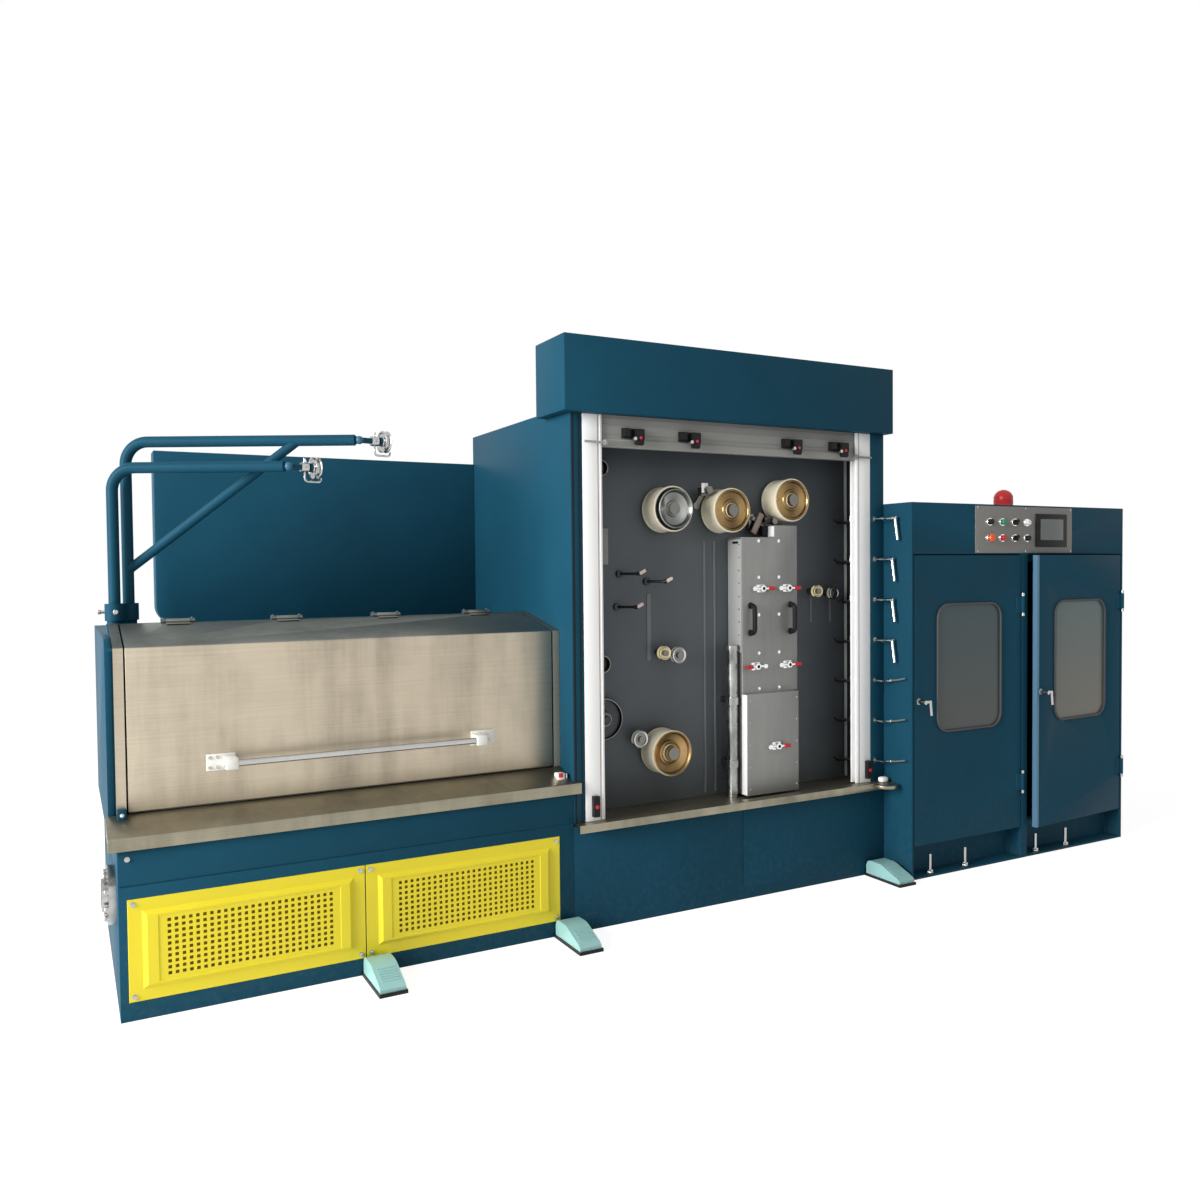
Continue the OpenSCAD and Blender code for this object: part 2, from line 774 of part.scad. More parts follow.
// contact rollers on dark blocks beside the upper sheaves
module contact_brushes() {
  ax = ann_x0 + 0.436*ann_len;
  az = sill_top + 0.822*open_h;
  bx = ann_x0 + 0.659*ann_len;
  bz = cham_step + 3;
  brush_y = 0.663*plate_set;
  color("dimgray") {
    rod_y(ax - 34, plate_set - 46, plate_set, az - 56, 16);
    translate([ax - 34, plate_set - 46, az - 56])
      rotate([0, 32, 0])
        translate([-11, 0, 0]) cube([22, 12, 76]);
    block(ax - 20, ax + 24, brush_y, plate_set - 34, az - 10, az + 26);
    rod_y(ax + 8, brush_y - 28, brush_y + 1, az + 14, 17);
    block(bx - 34, bx + 2, plate_set - 52, plate_set, bz, bz + 37);
    rod_y(bx - 4, plate_set - 92, plate_set - 51, bz + 18, 15);
    block(bx - 110, bx - 76, plate_set - 30, plate_set, bz - 24, bz + 52);
    translate([bx - 92, plate_set - 42, bz + 42]) rotate([0, 118, 0]) cube([18, 14, 74]);
  }
}

module wire_hooks() {
  color("silver")
  for (i = [0 : hook_n - 1]) {
    z = hook_z0 + i*(hook_z1 - hook_z0)/(hook_n - 1);
    x = open_x1 + 23;
    block(x - 9, x + 9, -6, 0, z - 14, z + 14);
    rod_y(x, -60, -5, z, 5);
    rod_x(x - 4, x + 44, -54, z, 4.4);
    rod_y(open_x1 - 36, plate_set - 96, plate_set, z - 10, 5);
    rod_z(open_x1 - 36, plate_set - 90, z - 12, z + 18, 4.4);
  }
}

module spooler_cabinet() {
  color("teal")
  difference() {
    block(spool_x0, spool_x1, front_s, back_s, 0, spool_h);
    block(spool_x0 + side_w, mid_x - mid_w/2, front_s - 1, front_s + kick_d, sole_t, kick_h);
    block(mid_x + mid_w/2, spool_x1 - side_w, front_s - 1, front_s + kick_d, sole_t, kick_h);
    for (x = [door_a - gap, door_b - gap]) {
      block(x, x + door_w + 2*gap, front_s - 1, front_s + door_t + 8, door_z0 - gap, door_z1 + gap);
    }
    block(spool_x0 + 40, spool_x0 + spool_len/2 - mid_w/2, front_s, back_s - 40,
      kick_h + 40, spool_h - fascia_h - 40);
    block(spool_x0 + spool_len/2 + mid_w/2, spool_x1 - 40, front_s, back_s - 40,
      kick_h + 40, spool_h - fascia_h - 40);
  }
}

module levelling_bolts() {
  color("silver")
  for (f = [0.096, 0.248, 0.578, 0.728]) {
    rod_z(spool_x0 + f*spool_len, front_s + 30, sole_t, sole_t + 5, 18);
    translate([spool_x0 + f*spool_len, front_s + 30, sole_t + 4]) cylinder(r = 15, h = 13, $fn = 6);
    rod_z(spool_x0 + f*spool_len, front_s + 30, sole_t + 16, sole_t + bolt_h, 8);
  }
}

module door_hinges() {
  color("silver")
  for (x = [door_a + door_w + 3, door_b + door_w + 3]) {
    for (z = hinge_z) {
      rod_z(x, knuckle_y, z - knuckle_h/2 - 10, z + knuckle_h/2 + 10, pin_r);
      for (s = [-1, 1]) {
        rod_z(x, knuckle_y, z + s*(knuckle_h/2 + 9) - 7, z + s*(knuckle_h/2 + 9) + 7, knuckle_r);
        block(x, x + 14, knuckle_y, front_s, z + s*(knuckle_h/2 + 9) - 7, z + s*(knuckle_h/2 + 9) + 7);
      }
    }
  }
}

// door in its closed place, standing with its hinge side to the right
module one_door(x0) {
  wx = x0 + door_w/2;
  difference() {
    union() {
      block(x0, x0 + door_w, front_s, front_s + door_t, door_z0, door_z1);
      for (z = hinge_z) {
        rod_z(x0 + door_w + 3, knuckle_y, z - knuckle_h/2, z + knuckle_h/2, knuckle_r);
        block(x0 + door_w - 34, x0 + door_w + 3, front_s - 5, front_s, z - knuckle_h/2, z + knuckle_h/2);
      }
    }
    block(x0 + 34, x0 + door_w - 34, front_s + 4, front_s + door_t + 1, door_z0 + 34, door_z1 - 34);
    translate([wx, 0, win_z + win_h/2])
      along_y(front_s - 1, front_s + 5) rounded(win_w, win_h, win_r);
    for (z = hinge_z) {
      rod_z(x0 + door_w + 3, knuckle_y, z - 80, z + 80, pin_r + pin_fit);
    }
  }
}

module one_window(x0) {
  wx = x0 + door_w/2;
  block(wx - win_w/2 - 22, wx + win_w/2 + 22, front_s + 4, front_s + 10, win_z - 22, win_z + win_h + 22);
}

// lever bent down from a round boss
module one_lever(x0) {
  x = x0 + 20;
  y = front_s - 40;
  z = door_z0 + 0.5*door_h;
  r = 7.5;
  arm = 40;
  droop = 6;
  rod_y(x, front_s - 8, front_s, z, 15);
  rod_y(x, y - 13, front_s - 7, z, 10);
  rod_x(x, x + arm, y, z, r);
  translate([x + arm, y, z]) {
    sphere(r = r + 1);
    rotate([0, 180 - droop, 0]) cylinder(r = r, h = 66);
  }
}

// turns the right door open about its hinge line
module swung_ajar() {
  x = door_b + door_w + 3;
  translate([x, knuckle_y, 0]) rotate([0, 0, ajar]) translate([-x, -knuckle_y, 0]) children();
}

module left_door() {
  color("teal") one_door(door_a);
}

module right_door() {
  color("teal") swung_ajar() one_door(door_b);
}

module left_window() {
  color("lightgray") one_window(door_a);
}

module right_window() {
  color("lightgray") swung_ajar() one_window(door_b);
}

module left_lever() {
  color("silver") one_lever(door_a);
}

module right_lever() {
  color("silver") swung_ajar() one_lever(door_b);
}

module control_panel() {
  color("gray")
  block(panel_x0, panel_x0 + panel_w, front_s - 4, front_s, panel_z0, panel_z0 + panel_h);
}

module operator_screen() {
  x0 = panel_x0 + 0.605*panel_w;
  color("black")
  block(x0, x0 + 0.325*panel_w, front_s - 12, front_s - 4, panel_z0 + 0.13*panel_h,
    panel_z0 + 0.855*panel_h);
}

module push_buttons() {
  color("black")
  for (i = [0 : 3]) {
    for (k = [0, 1]) {
      rod_y(panel_x0 + (0.126 + 0.125*i)*panel_w, front_s - 22, front_s - 4,
        panel_z0 + (0.32 + 0.34*k)*panel_h, 17);
    }
  }
}

// domed lens on a round foot
module beacon() {
  r = beacon_r;
  color("red")
  translate([spool_x0 + 0.614*spool_len, front_s + 0.24*spool_d, spool_h])
    rotate_extrude() {
      square([r + 4, 20]);
      translate([0, 19]) square([r, beacon_h - r - 19]);
      intersection() {
        translate([0, beacon_h - r]) circle(r = r);
        translate([0, beacon_h - r - 1]) square([r, r + 1]);
      }
    }
}

module pedal_mats() {
  color("black")
  for (x = pedal_x) {
    block(x - pedal_w/2, x + pedal_w/2, -pedal_l - 20, 0, 0, 12);
  }
}

module foot_pedals() {
  l = pedal_l;
  h = pedal_h;
  color("mediumaquamarine")
  for (x = pedal_x) {
    along_x(x - pedal_w/2 + 5, x + pedal_w/2 - 5)
      polygon([[-l - 12, 12], [-l - 12, 26], [-l*0.45, h], [-l*0.1, h], [-6, h - 26], [-6, 12]]);
  }
}

place() drawing_base();
place() guard_panels();
place() drip_apron();
place() chamber_housing();
place() chamber_jambs();
place() rear_hood();
place() cover_hinges();
place() chamber_cover();
place() cover_handle();
place() jib_bracket();
place() lower_jib();
place() upper_jib();
place() lower_jib_pulley();
place() upper_jib_pulley();
place() coolant_flange();
place() annealer_base();
place() sill_tray();
place() annealer_cabinet();
place() mounting_plate();
place() shutter_box();
place() shutter_bar();
place() guide_rails();
place() shutter_latches();
place() pulley_studs();
place() contact_sheave_1();
place() contact_sheave_2();
place() contact_sheave_3();
place() contact_sheave_4();
place() guide_pulley_1();
place() guide_pulley_2();
place() guide_pulley_3();
place() guide_pulley_4();
place() guide_pulley_5();
place() annealing_chamber();
place() chamber_handles();
place() toggle_clamps();
place() sight_tube();
place() wire_guides();
place() contact_brushes();
place() wire_hooks();
place() spooler_cabinet();
place() levelling_bolts();
place() door_hinges();
place() left_door();
place() right_door();
place() left_window();
place() right_window();
place() left_lever();
place() right_lever();
place() control_panel();
place() operator_screen();
place() push_buttons();
place() beacon();
place() pedal_mats();
place() foot_pedals();
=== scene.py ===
import json
import math

import bmesh
import bpy
from bpy.props import FloatProperty, FloatVectorProperty, IntProperty, PointerProperty
from mathutils import Matrix, Vector


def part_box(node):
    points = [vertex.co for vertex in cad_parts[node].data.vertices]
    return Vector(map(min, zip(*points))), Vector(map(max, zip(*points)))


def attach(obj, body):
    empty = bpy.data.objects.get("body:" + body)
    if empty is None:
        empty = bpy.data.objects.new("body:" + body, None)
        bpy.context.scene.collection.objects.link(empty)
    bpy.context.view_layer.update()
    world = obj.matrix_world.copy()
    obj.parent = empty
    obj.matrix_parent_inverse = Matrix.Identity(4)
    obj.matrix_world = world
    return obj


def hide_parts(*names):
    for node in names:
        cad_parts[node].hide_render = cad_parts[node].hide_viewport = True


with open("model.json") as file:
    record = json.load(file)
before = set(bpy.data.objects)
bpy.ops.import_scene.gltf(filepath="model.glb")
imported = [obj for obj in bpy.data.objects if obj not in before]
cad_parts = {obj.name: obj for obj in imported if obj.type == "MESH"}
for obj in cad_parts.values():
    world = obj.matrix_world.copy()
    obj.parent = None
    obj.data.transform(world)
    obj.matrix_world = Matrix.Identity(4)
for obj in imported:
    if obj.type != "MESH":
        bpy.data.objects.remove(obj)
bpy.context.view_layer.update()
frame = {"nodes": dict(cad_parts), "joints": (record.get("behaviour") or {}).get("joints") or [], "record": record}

bl_info = {
    "name": "Wire drawing machine",
    "version": (1, 0, 0),
    "blender": (4, 5, 0),
    "location": "3D View > Sidebar > Wire machine",
    "description": "Dresses a wire drawing line with its finishes, fittings and fasteners",
    "category": "Object",
}

MM = 0.001

# Places of the latches along the shutter bar, as shares of the clear opening
LATCH_SHARES = (0.105, 0.31, 0.716, 0.918)

# Tone of settled dust, and the tint of the painted shade that greys and blues bare metal above a height
DUST_TONE = (0.42, 0.39, 0.34)
PAINTED_SHADE_TINT = (0.40, 0.49, 0.57)

# Height of the cover's bend above the foot of its handle, in metres
COVER_BEND = 0.451

# Split between the chamber's two covers and the chamber's top, as shares of the guide rails' height
CHAMBER_SPLIT = 0.278
CHAMBER_TOP = 0.7043

# Gap between the two guards
GUARD_GAP = 4 * MM


# Sizes and colours

def length(name, text, millimetres):
    return FloatProperty(name=name, description=text, default=millimetres * MM, unit="LENGTH")


def colour(name, text, red, green, blue):
    return FloatVectorProperty(name=name, description=text, default=(red, green, blue), subtype="COLOR",
                               size=3, min=0.0, max=1.0)


class WireMachineSizes(bpy.types.PropertyGroup):
    """Sizes of the fittings that are added to the machine."""
    edge: length("Sheet edge", "Rounding of folded sheet edges", 2.5)
    guard_hole: length("Guard hole", "Side of a square hole in the guards", 11.5)
    guard_pitch_x: length("Hole pitch along", "Distance of guard holes along the machine", 22.7)
    guard_pitch_z: length("Hole pitch up", "Distance of guard holes in height", 20.3)
    guard_columns: IntProperty(name="Hole columns", description="Guard holes in a row", default=25, min=1)
    guard_rows: IntProperty(name="Hole rows", description="Rows of guard holes", default=10, min=1)
    screw: length("Screw radius", "Radius of a panel screw's head", 9)
    bolt: length("Bolt radius", "Radius of a chamber bolt's head", 8)
    gasket: length("Gasket radius", "Radius of the rubber round the door windows", 6)
    window_corner: length("Window corner", "Corner radius of the door windows", 70)
    hook_rod: length("Hook rod radius", "Radius of the wire hooks' rods", 5)


class WireMachineColours(bpy.types.PropertyGroup):
    """Colours of the machine's finishes."""
    blue: colour("Blue", "Paint of the housings", 0.008, 0.057, 0.095)
    yellow: colour("Yellow", "Paint of the guards", 0.75, 0.625, 0.018)
    stainless: colour("Stainless", "Brushed sheet of the cover and trays", 0.55, 0.477, 0.369)
    bright: colour("Bright steel", "Turned and plated steel", 0.50, 0.50, 0.49)
    stud: colour("Stud steel", "Oiled steel of the studs and steel pulleys", 0.19, 0.185, 0.172)
    dark: colour("Dark steel", "Blackened steel", 0.055, 0.057, 0.06)
    brass: colour("Bronze", "Turned faces of the sheaves", 0.273, 0.18, 0.079)
    white: colour("White", "Paint of the guide rails", 0.96, 0.96, 0.96)
    plate: colour("Plate", "Paint of the mounting plate", 0.085, 0.098, 0.108)
    grey: colour("Grey", "Paint of the control panel and shutter bar", 0.27, 0.27, 0.255)
    cream: colour("Cream", "Ceramic of the contact sheaves", 0.86, 0.79, 0.61)
    pale_brass: colour("Pale brass", "Turned brass of two guide pulleys", 0.55, 0.48, 0.28)
    polished: colour("Polished steel", "Chromed hook ends and bezels", 0.85, 0.85, 0.84)
    apron: colour("Apron", "Worn sheet of the drip apron", 0.32, 0.295, 0.22)
    fascia: colour("Fascia", "Paint of the control panel", 0.20, 0.196, 0.182)
    # The door edge's lighter blue is a painted highlight on the right door's lit free edge.
    edge: colour("Door edge", "Paint of the right door's folded edge trim", 0.085, 0.20, 0.31)
    # The strip sheet's light grey is painted light on the chamber's lit left side.
    sheet: colour("Strip sheet", "Sheet of the chamber's side strip", 0.44, 0.45, 0.44)
    # The guard back's darkened yellow-brown is painted shade seen through the guards' holes.
    guard_painted_shade_back: colour("Guard back", "Sheet behind the guards' holes", 0.34, 0.235, 0.02)
    tube: colour("Sight tube", "Mirrored glass of the sight tube", 0.36, 0.37, 0.36)
    # The rail line's dark brown is a painted shadow line along the guide rails.
    rail_shadow_line: colour("Rail line", "Joint line along the guide rails", 0.20, 0.14, 0.12)
    ivory: colour("Handle brackets", "Plastic of the cover handle's brackets", 0.74, 0.73, 0.68)
    # The cover seal's dark grey is painted shade in the gap under the cover's lower edge.
    shade_lip: colour("Cover seal", "Lip behind the cover's lower edge", 0.17, 0.16, 0.13)
    hinge: colour("Cover hinges", "Dull steel of the cover hinges", 0.13, 0.155, 0.165)
    ball: colour("Jib balls", "Paint of the ball ends of the jibs", 0.03, 0.13, 0.21)
    tip: colour("Guide tips", "Ceramic tips of the wire guides", 0.72, 0.60, 0.56)
    screen: colour("Screen glass", "Dark glass of the operator screen", 0.11, 0.125, 0.12)
    sheave: colour("First sheave", "Turned steel face of the first contact sheave", 0.29, 0.30, 0.285)
    arm: colour("Brush arm", "Pressed board of the contact arm", 0.34, 0.27, 0.23)
    lamp: colour("White lamp", "White lamp of the control panel", 0.85, 0.85, 0.82)
    green: colour("Green button", "Start button of the control panel", 0.01, 0.22, 0.09)
    orange: colour("Stop button", "Mushroom head of the stop button", 0.78, 0.10, 0.02)
    strip: colour("Strip", "Paint of the plate's cover strips", 0.17, 0.18, 0.19)
    rubber: colour("Rubber", "Rubber round the door windows", 0.075, 0.074, 0.075)
    chamber: colour("Chamber", "Sheet of the annealing chamber", 0.26, 0.26, 0.25)
    black: colour("Black", "Plastic of handles and latches", 0.012, 0.012, 0.013)
    red: colour("Red", "Clamp grips, beacon, latch buttons and the red push button", 0.55, 0.012, 0.018)
    mint: colour("Mint", "Paint of the foot pedals", 0.29, 0.53, 0.52)
    glass: colour("Window", "Lower part of the frosted door windows", 0.075, 0.085, 0.08)
    glass_top: colour("Window top", "Upper part of the frosted door windows", 0.042, 0.072, 0.082)


def sizes():
    return bpy.context.scene.wire_machine_sizes


def colours():
    return bpy.context.scene.wire_machine_colours


# Places taken from the frame

def low(node):
    return Vector(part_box(node)[0])


def high(node):
    return Vector(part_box(node)[1])


def middle(node):
    return (low(node) + high(node)) / 2


def joint_place(name):
    for joint in frame["joints"]:
        if joint["name"] == name:
            return Vector(joint["pos_m"]), Vector(joint["axis"])
    raise KeyError(name)


def wheel_front(node):
    """Centre of a wheel's front face, and the wheel's radius."""
    a = low(node)
    b = high(node)
    return Vector(((a.x + b.x) / 2, a.y, (a.z + b.z) / 2)), (b.x - a.x) / 2


def annealer_field():
    """Left end and length of the annealer, foot and height of its guide rails."""
    start = low("annealer_base").x
    sill = low("guide_rails").z
    return start, high("annealer_base").x - start, sill, high("guide_rails").z - sill


# Mesh building

def basis(axis):
    """Two directions square to an axis."""
    axis = Vector(axis).normalized()
    other = Vector((0, 0, 1)) if abs(axis.z) < 0.9 else Vector((1, 0, 0))
    first = other.cross(axis).normalized()
    return axis, first, axis.cross(first).normalized()


class Shape:
    """Gathers the faces of one piece, in metres in the part's frame."""

    def __init__(self):
        self.bm = bmesh.new()
        self.material = 0

    def face(self, points):
        made = self.bm.faces.new([self.bm.verts.new(p) for p in points])
        made.material_index = self.material

    def box(self, a, b, edge=0.0, turn=None):
        """Box between two corners, with rounded edges and an optional matrix about its middle."""
        a = Vector(a)
        b = Vector(b)
        size = Vector([abs(q - p) for p, q in zip(a, b)])
        place = Matrix.Translation((a + b) / 2)
        if turn:
            place = place @ turn
        made = bmesh.ops.create_cube(self.bm, size=1.0, matrix=place @ Matrix.Diagonal(size).to_4x4())
        faces = {f for v in made["verts"] for f in v.link_faces}
        edges = {e for v in made["verts"] for e in v.link_edges}
        for f in faces:
            f.material_index = self.material
        if edge > 0:
            bmesh.ops.bevel(self.bm, geom=list(edges), offset=edge, segments=2, profile=0.5,
                            affect="EDGES", clamp_overlap=True, material=self.material)

    def lathe(self, profile, centre, axis, steps=48):
        """Turns (radius, distance along the axis) pairs about an axis, closing the ends on it."""
        axis, first, second = basis(axis)
        centre = Vector(centre)
        rings = []
        for radius, along in profile:
            middle_point = centre + axis * along
            if radius < 1e-6:
                rings.append([self.bm.verts.new(middle_point)])
                continue
            ring = []
            for i in range(steps):
                t = 2 * math.pi * i / steps
                spoke = first * math.cos(t) + second * math.sin(t)
                ring.append(self.bm.verts.new(middle_point + spoke * radius))
            rings.append(ring)
        for a, b in zip(rings, rings[1:]):
            for i in range(steps):
                j = (i + 1) % steps
                if len(a) == 1 and len(b) == 1:
                    continue
                if len(a) == 1:
                    corner = (a[0], b[j], b[i])
                elif len(b) == 1:
                    corner = (a[i], a[j], b[0])
                else:
                    corner = (a[i], a[j], b[j], b[i])
                made = self.bm.faces.new(corner)
                made.material_index = self.material

    def rod(self, a, b, radius, steps=20, chamfer=0.0):
        """Round bar from one point to another with chamfered ends."""
        a = Vector(a)
        b = Vector(b)
        run = (b - a).length
        c = min(chamfer, radius * 0.6, run * 0.4)
        profile = [(0, 0), (radius - c, 0), (radius, c), (radius, run - c), (radius - c, run), (0, run)]
        if c == 0:
            profile = [(0, 0), (radius, 0), (radius, run), (0, run)]
        self.lathe(profile, a, b - a, steps)

    def tube(self, points, radius, sides=12, closed=False):
        """Sweeps a circle along a path."""
        points = [Vector(p) for p in points]
        count = len(points)
        rings = []
        normal = None
        for i, p in enumerate(points):
            before = points[i - 1] if i > 0 or closed else p
            after = points[(i + 1) % count] if i < count - 1 or closed else p
            along = (after - before).normalized()
            if normal is None:
                normal = basis(along)[1]
            normal = (normal - along * normal.dot(along)).normalized()
            side = along.cross(normal)
            rings.append([self.bm.verts.new(p + (normal * math.cos(2 * math.pi * k / sides)
                                                 + side * math.sin(2 * math.pi * k / sides)) * radius)
                          for k in range(sides)])
        pairs = list(zip(rings, rings[1:]))
        if closed:
            pairs.append((rings[-1], rings[0]))
        for a, b in pairs:
            for k in range(sides):
                j = (k + 1) % sides
                made = self.bm.faces.new((a[k], a[j], b[j], b[k]))
                made.material_index = self.material
        if not closed:
            for ring in (rings[0], rings[-1]):
                made = self.bm.faces.new(ring)
                made.material_index = self.material

    def prism(self, outline, direction, a, b):
        """Draws a closed outline of points out from distance a to b along a direction."""
        direction = Vector(direction)
        near = [self.bm.verts.new(Vector(p) + direction * a) for p in outline]
        far = [self.bm.verts.new(Vector(p) + direction * b) for p in outline]
        made = [self.bm.faces.new(near), self.bm.faces.new(far)]
        for i in range(len(outline)):
            j = (i + 1) % len(outline)
            made.append(self.bm.faces.new((near[i], near[j], far[j], far[i])))
        for f in made:
            f.material_index = self.material

    def done(self, name, materials, body, replaces=(), smooth=35, merge=1e-6):
        """Makes the object, sets its finish and ties it to its body."""
        bmesh.ops.remove_doubles(self.bm, verts=self.bm.verts, dist=merge)
        bmesh.ops.recalc_face_normals(self.bm, faces=self.bm.faces)
        mesh = bpy.data.meshes.new(name)
        self.bm.to_mesh(mesh)
        self.bm.free()
        return settle(mesh, name, materials, body, replaces, smooth)


def settle(mesh, name, materials, body, replaces=(), smooth=35):
    """Puts a finished mesh into the scene as a piece that rides on a body."""
    for material in materials if isinstance(materials, (list, tuple)) else [materials]:
        mesh.materials.append(material)
    for polygon in mesh.polygons:
        polygon.use_smooth = True
    mesh.set_sharp_from_angle(angle=math.radians(smooth))
    piece = bpy.data.objects.new(name, mesh)
    bpy.context.scene.collection.objects.link(piece)
    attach(piece, body)
    if replaces:
        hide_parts(*replaces)
    return piece


def arc(centre, radius, start, end, steps, u=(1, 0, 0), v=(0, 0, 1)):
    """Points on a circle between two angles in degrees, in the plane of u and v."""
    u = Vector(u)
    v = Vector(v)
    angles = [math.radians(start + (end - start) * i / steps) for i in range(steps + 1)]
    return [Vector(centre) + (u * math.cos(t) + v * math.sin(t)) * radius for t in angles]


def rounded_loop(centre, width, height, radius, u=(1, 0, 0), v=(0, 0, 1), steps=10):
    """Closed outline of a rectangle with round corners."""
    u = Vector(u)
    v = Vector(v)
    points = []
    for sx, sz, start in ((1, 1, 0), (-1, 1, 90), (-1, -1, 180), (1, -1, 270)):
        corner = Vector(centre) + u * sx * (width / 2 - radius) + v * sz * (height / 2 - radius)
        points += arc(corner, radius, start, start + 90, steps, u, v)
    return points


# Geometry node trees

def new_tree(name, inputs):
    tree = bpy.data.node_groups.new(name, "GeometryNodeTree")
    tree.interface.new_socket("Geometry", in_out="INPUT", socket_type="NodeSocketGeometry")
    for title, kind in inputs:
        tree.interface.new_socket(title, in_out="INPUT", socket_type=kind)
    tree.interface.new_socket("Geometry", in_out="OUTPUT", socket_type="NodeSocketGeometry")
    return tree, tree.nodes.new("NodeGroupInput"), tree.nodes.new("NodeGroupOutput")


def fastener_tree():
    """A washer, a head and a chamfered crown on every point."""
    name = "panel_fasteners"
    if name in bpy.data.node_groups:
        return bpy.data.node_groups[name]
    tree, given, out = new_tree(name, [("Radius", "NodeSocketFloat"), ("Height", "NodeSocketFloat"),
                                       ("Sides", "NodeSocketInt"), ("Turn", "NodeSocketVector"),
                                       ("Material", "NodeSocketMaterial")])
    link = tree.links.new
    join = tree.nodes.new("GeometryNodeJoinGeometry")

    def scaled(socket, factor):
        node = tree.nodes.new("ShaderNodeMath")
        node.operation = "MULTIPLY"
        link(given.outputs[socket], node.inputs[0])
        node.inputs[1].default_value = factor
        return node.outputs[0]

    def lifted(mesh, height):
        move = tree.nodes.new("GeometryNodeTransform")
        place = tree.nodes.new("ShaderNodeCombineXYZ")
        link(height, place.inputs["Z"])
        link(mesh, move.inputs["Geometry"])
        link(place.outputs[0], move.inputs["Translation"])
        link(move.outputs[0], join.inputs[0])

    washer = tree.nodes.new("GeometryNodeMeshCylinder")
    washer.inputs["Vertices"].default_value = 20
    link(scaled("Radius", 1.0), washer.inputs["Radius"])
    link(scaled("Height", 0.3), washer.inputs["Depth"])
    lifted(washer.outputs["Mesh"], scaled("Height", 0.15))
    head = tree.nodes.new("GeometryNodeMeshCylinder")
    link(given.outputs["Sides"], head.inputs["Vertices"])
    link(scaled("Radius", 0.78), head.inputs["Radius"])
    link(scaled("Height", 0.5), head.inputs["Depth"])
    lifted(head.outputs["Mesh"], scaled("Height", 0.55))
    crown = tree.nodes.new("GeometryNodeMeshCone")
    link(given.outputs["Sides"], crown.inputs["Vertices"])
    link(scaled("Radius", 0.78), crown.inputs["Radius Bottom"])
    link(scaled("Radius", 0.52), crown.inputs["Radius Top"])
    link(scaled("Height", 0.2), crown.inputs["Depth"])
    lifted(crown.outputs["Mesh"], scaled("Height", 0.8))
    turn = tree.nodes.new("FunctionNodeEulerToRotation")
    link(given.outputs["Turn"], turn.inputs[0])
    spread = tree.nodes.new("GeometryNodeInstanceOnPoints")
    link(given.outputs["Geometry"], spread.inputs["Points"])
    link(join.outputs[0], spread.inputs["Instance"])
    link(turn.outputs[0], spread.inputs["Rotation"])
    real = tree.nodes.new("GeometryNodeRealizeInstances")
    link(spread.outputs[0], real.inputs[0])
    paint = tree.nodes.new("GeometryNodeSetMaterial")
    link(real.outputs[0], paint.inputs["Geometry"])
    link(given.outputs["Material"], paint.inputs["Material"])
    link(paint.outputs[0], out.inputs[0])
    return tree


def perforation_tree():
    """A grid of square-holed cells, set side by side."""
    name = "guard_perforation"
    if name in bpy.data.node_groups:
        return bpy.data.node_groups[name]
    tree, given, out = new_tree(name, [("Columns", "NodeSocketInt"), ("Rows", "NodeSocketInt"),
                                       ("Width", "NodeSocketFloat"), ("Height", "NodeSocketFloat"),
                                       ("Material", "NodeSocketMaterial")])
    link = tree.links.new
    grid = tree.nodes.new("GeometryNodeMeshGrid")
    link(given.outputs["Columns"], grid.inputs["Vertices X"])
    link(given.outputs["Rows"], grid.inputs["Vertices Y"])
    link(given.outputs["Width"], grid.inputs["Size X"])
    link(given.outputs["Height"], grid.inputs["Size Y"])
    spread = tree.nodes.new("GeometryNodeInstanceOnPoints")
    link(grid.outputs["Mesh"], spread.inputs["Points"])
    link(given.outputs["Geometry"], spread.inputs["Instance"])
    real = tree.nodes.new("GeometryNodeRealizeInstances")
    link(spread.outputs[0], real.inputs[0])
    weld = tree.nodes.new("GeometryNodeMergeByDistance")
    weld.inputs["Distance"].default_value = 1e-5
    link(real.outputs[0], weld.inputs["Geometry"])
    paint = tree.nodes.new("GeometryNodeSetMaterial")
    link(weld.outputs[0], paint.inputs["Geometry"])
    link(given.outputs["Material"], paint.inputs["Material"])
    link(paint.outputs[0], out.inputs[0])
    return tree


def grown(mesh, tree, values):
    """Runs a tree on a mesh and returns the result as a plain mesh."""
    carrier = bpy.data.objects.new("carrier", mesh)
    bpy.context.scene.collection.objects.link(carrier)
    modifier = carrier.modifiers.new("grow", "NODES")
    modifier.node_group = tree
    for item in tree.interface.items_tree:
        if item.item_type == "SOCKET" and item.in_out == "INPUT" and item.name in values:
            modifier[item.identifier] = values[item.name]
    carrier.update_tag()
    graph = bpy.context.evaluated_depsgraph_get()
    result = bpy.data.meshes.new_from_object(carrier.evaluated_get(graph), depsgraph=graph)
    carrier.modifiers.clear()
    bpy.data.objects.remove(carrier)
    bpy.data.meshes.remove(mesh)
    return result


def fasteners(name, points, outward, radius, height, material, body, sides=6):
    """Screws or bolts on points, with their heads outward."""
    mesh = bpy.data.meshes.new(name + "_points")
    mesh.from_pydata([tuple(p) for p in points], [], [])
    turn = Vector(outward).to_track_quat("Z", "Y").to_euler()
    result = grown(mesh, fastener_tree(), {"Radius": radius, "Height": height, "Sides": sides,
                                           "Turn": tuple(turn), "Material": material})
    result.name = name
    result.materials.clear()
    return settle(result, name, material, body, smooth=30)


def steel_screws(name, points, outward, radius, height, sides=6, body="machine"):
    """Screws or bolts of bright steel."""
    return fasteners(name, points, outward, radius, height, bright_steel(), body, sides)


# Shared surface effects

def effect_group(name, inputs, outputs):
    tree = bpy.data.node_groups.new(name, "ShaderNodeTree")
    for title, kind, value in inputs:
        socket = tree.interface.new_socket(title, in_out="INPUT", socket_type=kind)
        socket.default_value = value
    for title, kind in outputs:
        tree.interface.new_socket(title, in_out="OUTPUT", socket_type=kind)
    return tree, tree.nodes.new("NodeGroupInput"), tree.nodes.new("NodeGroupOutput")


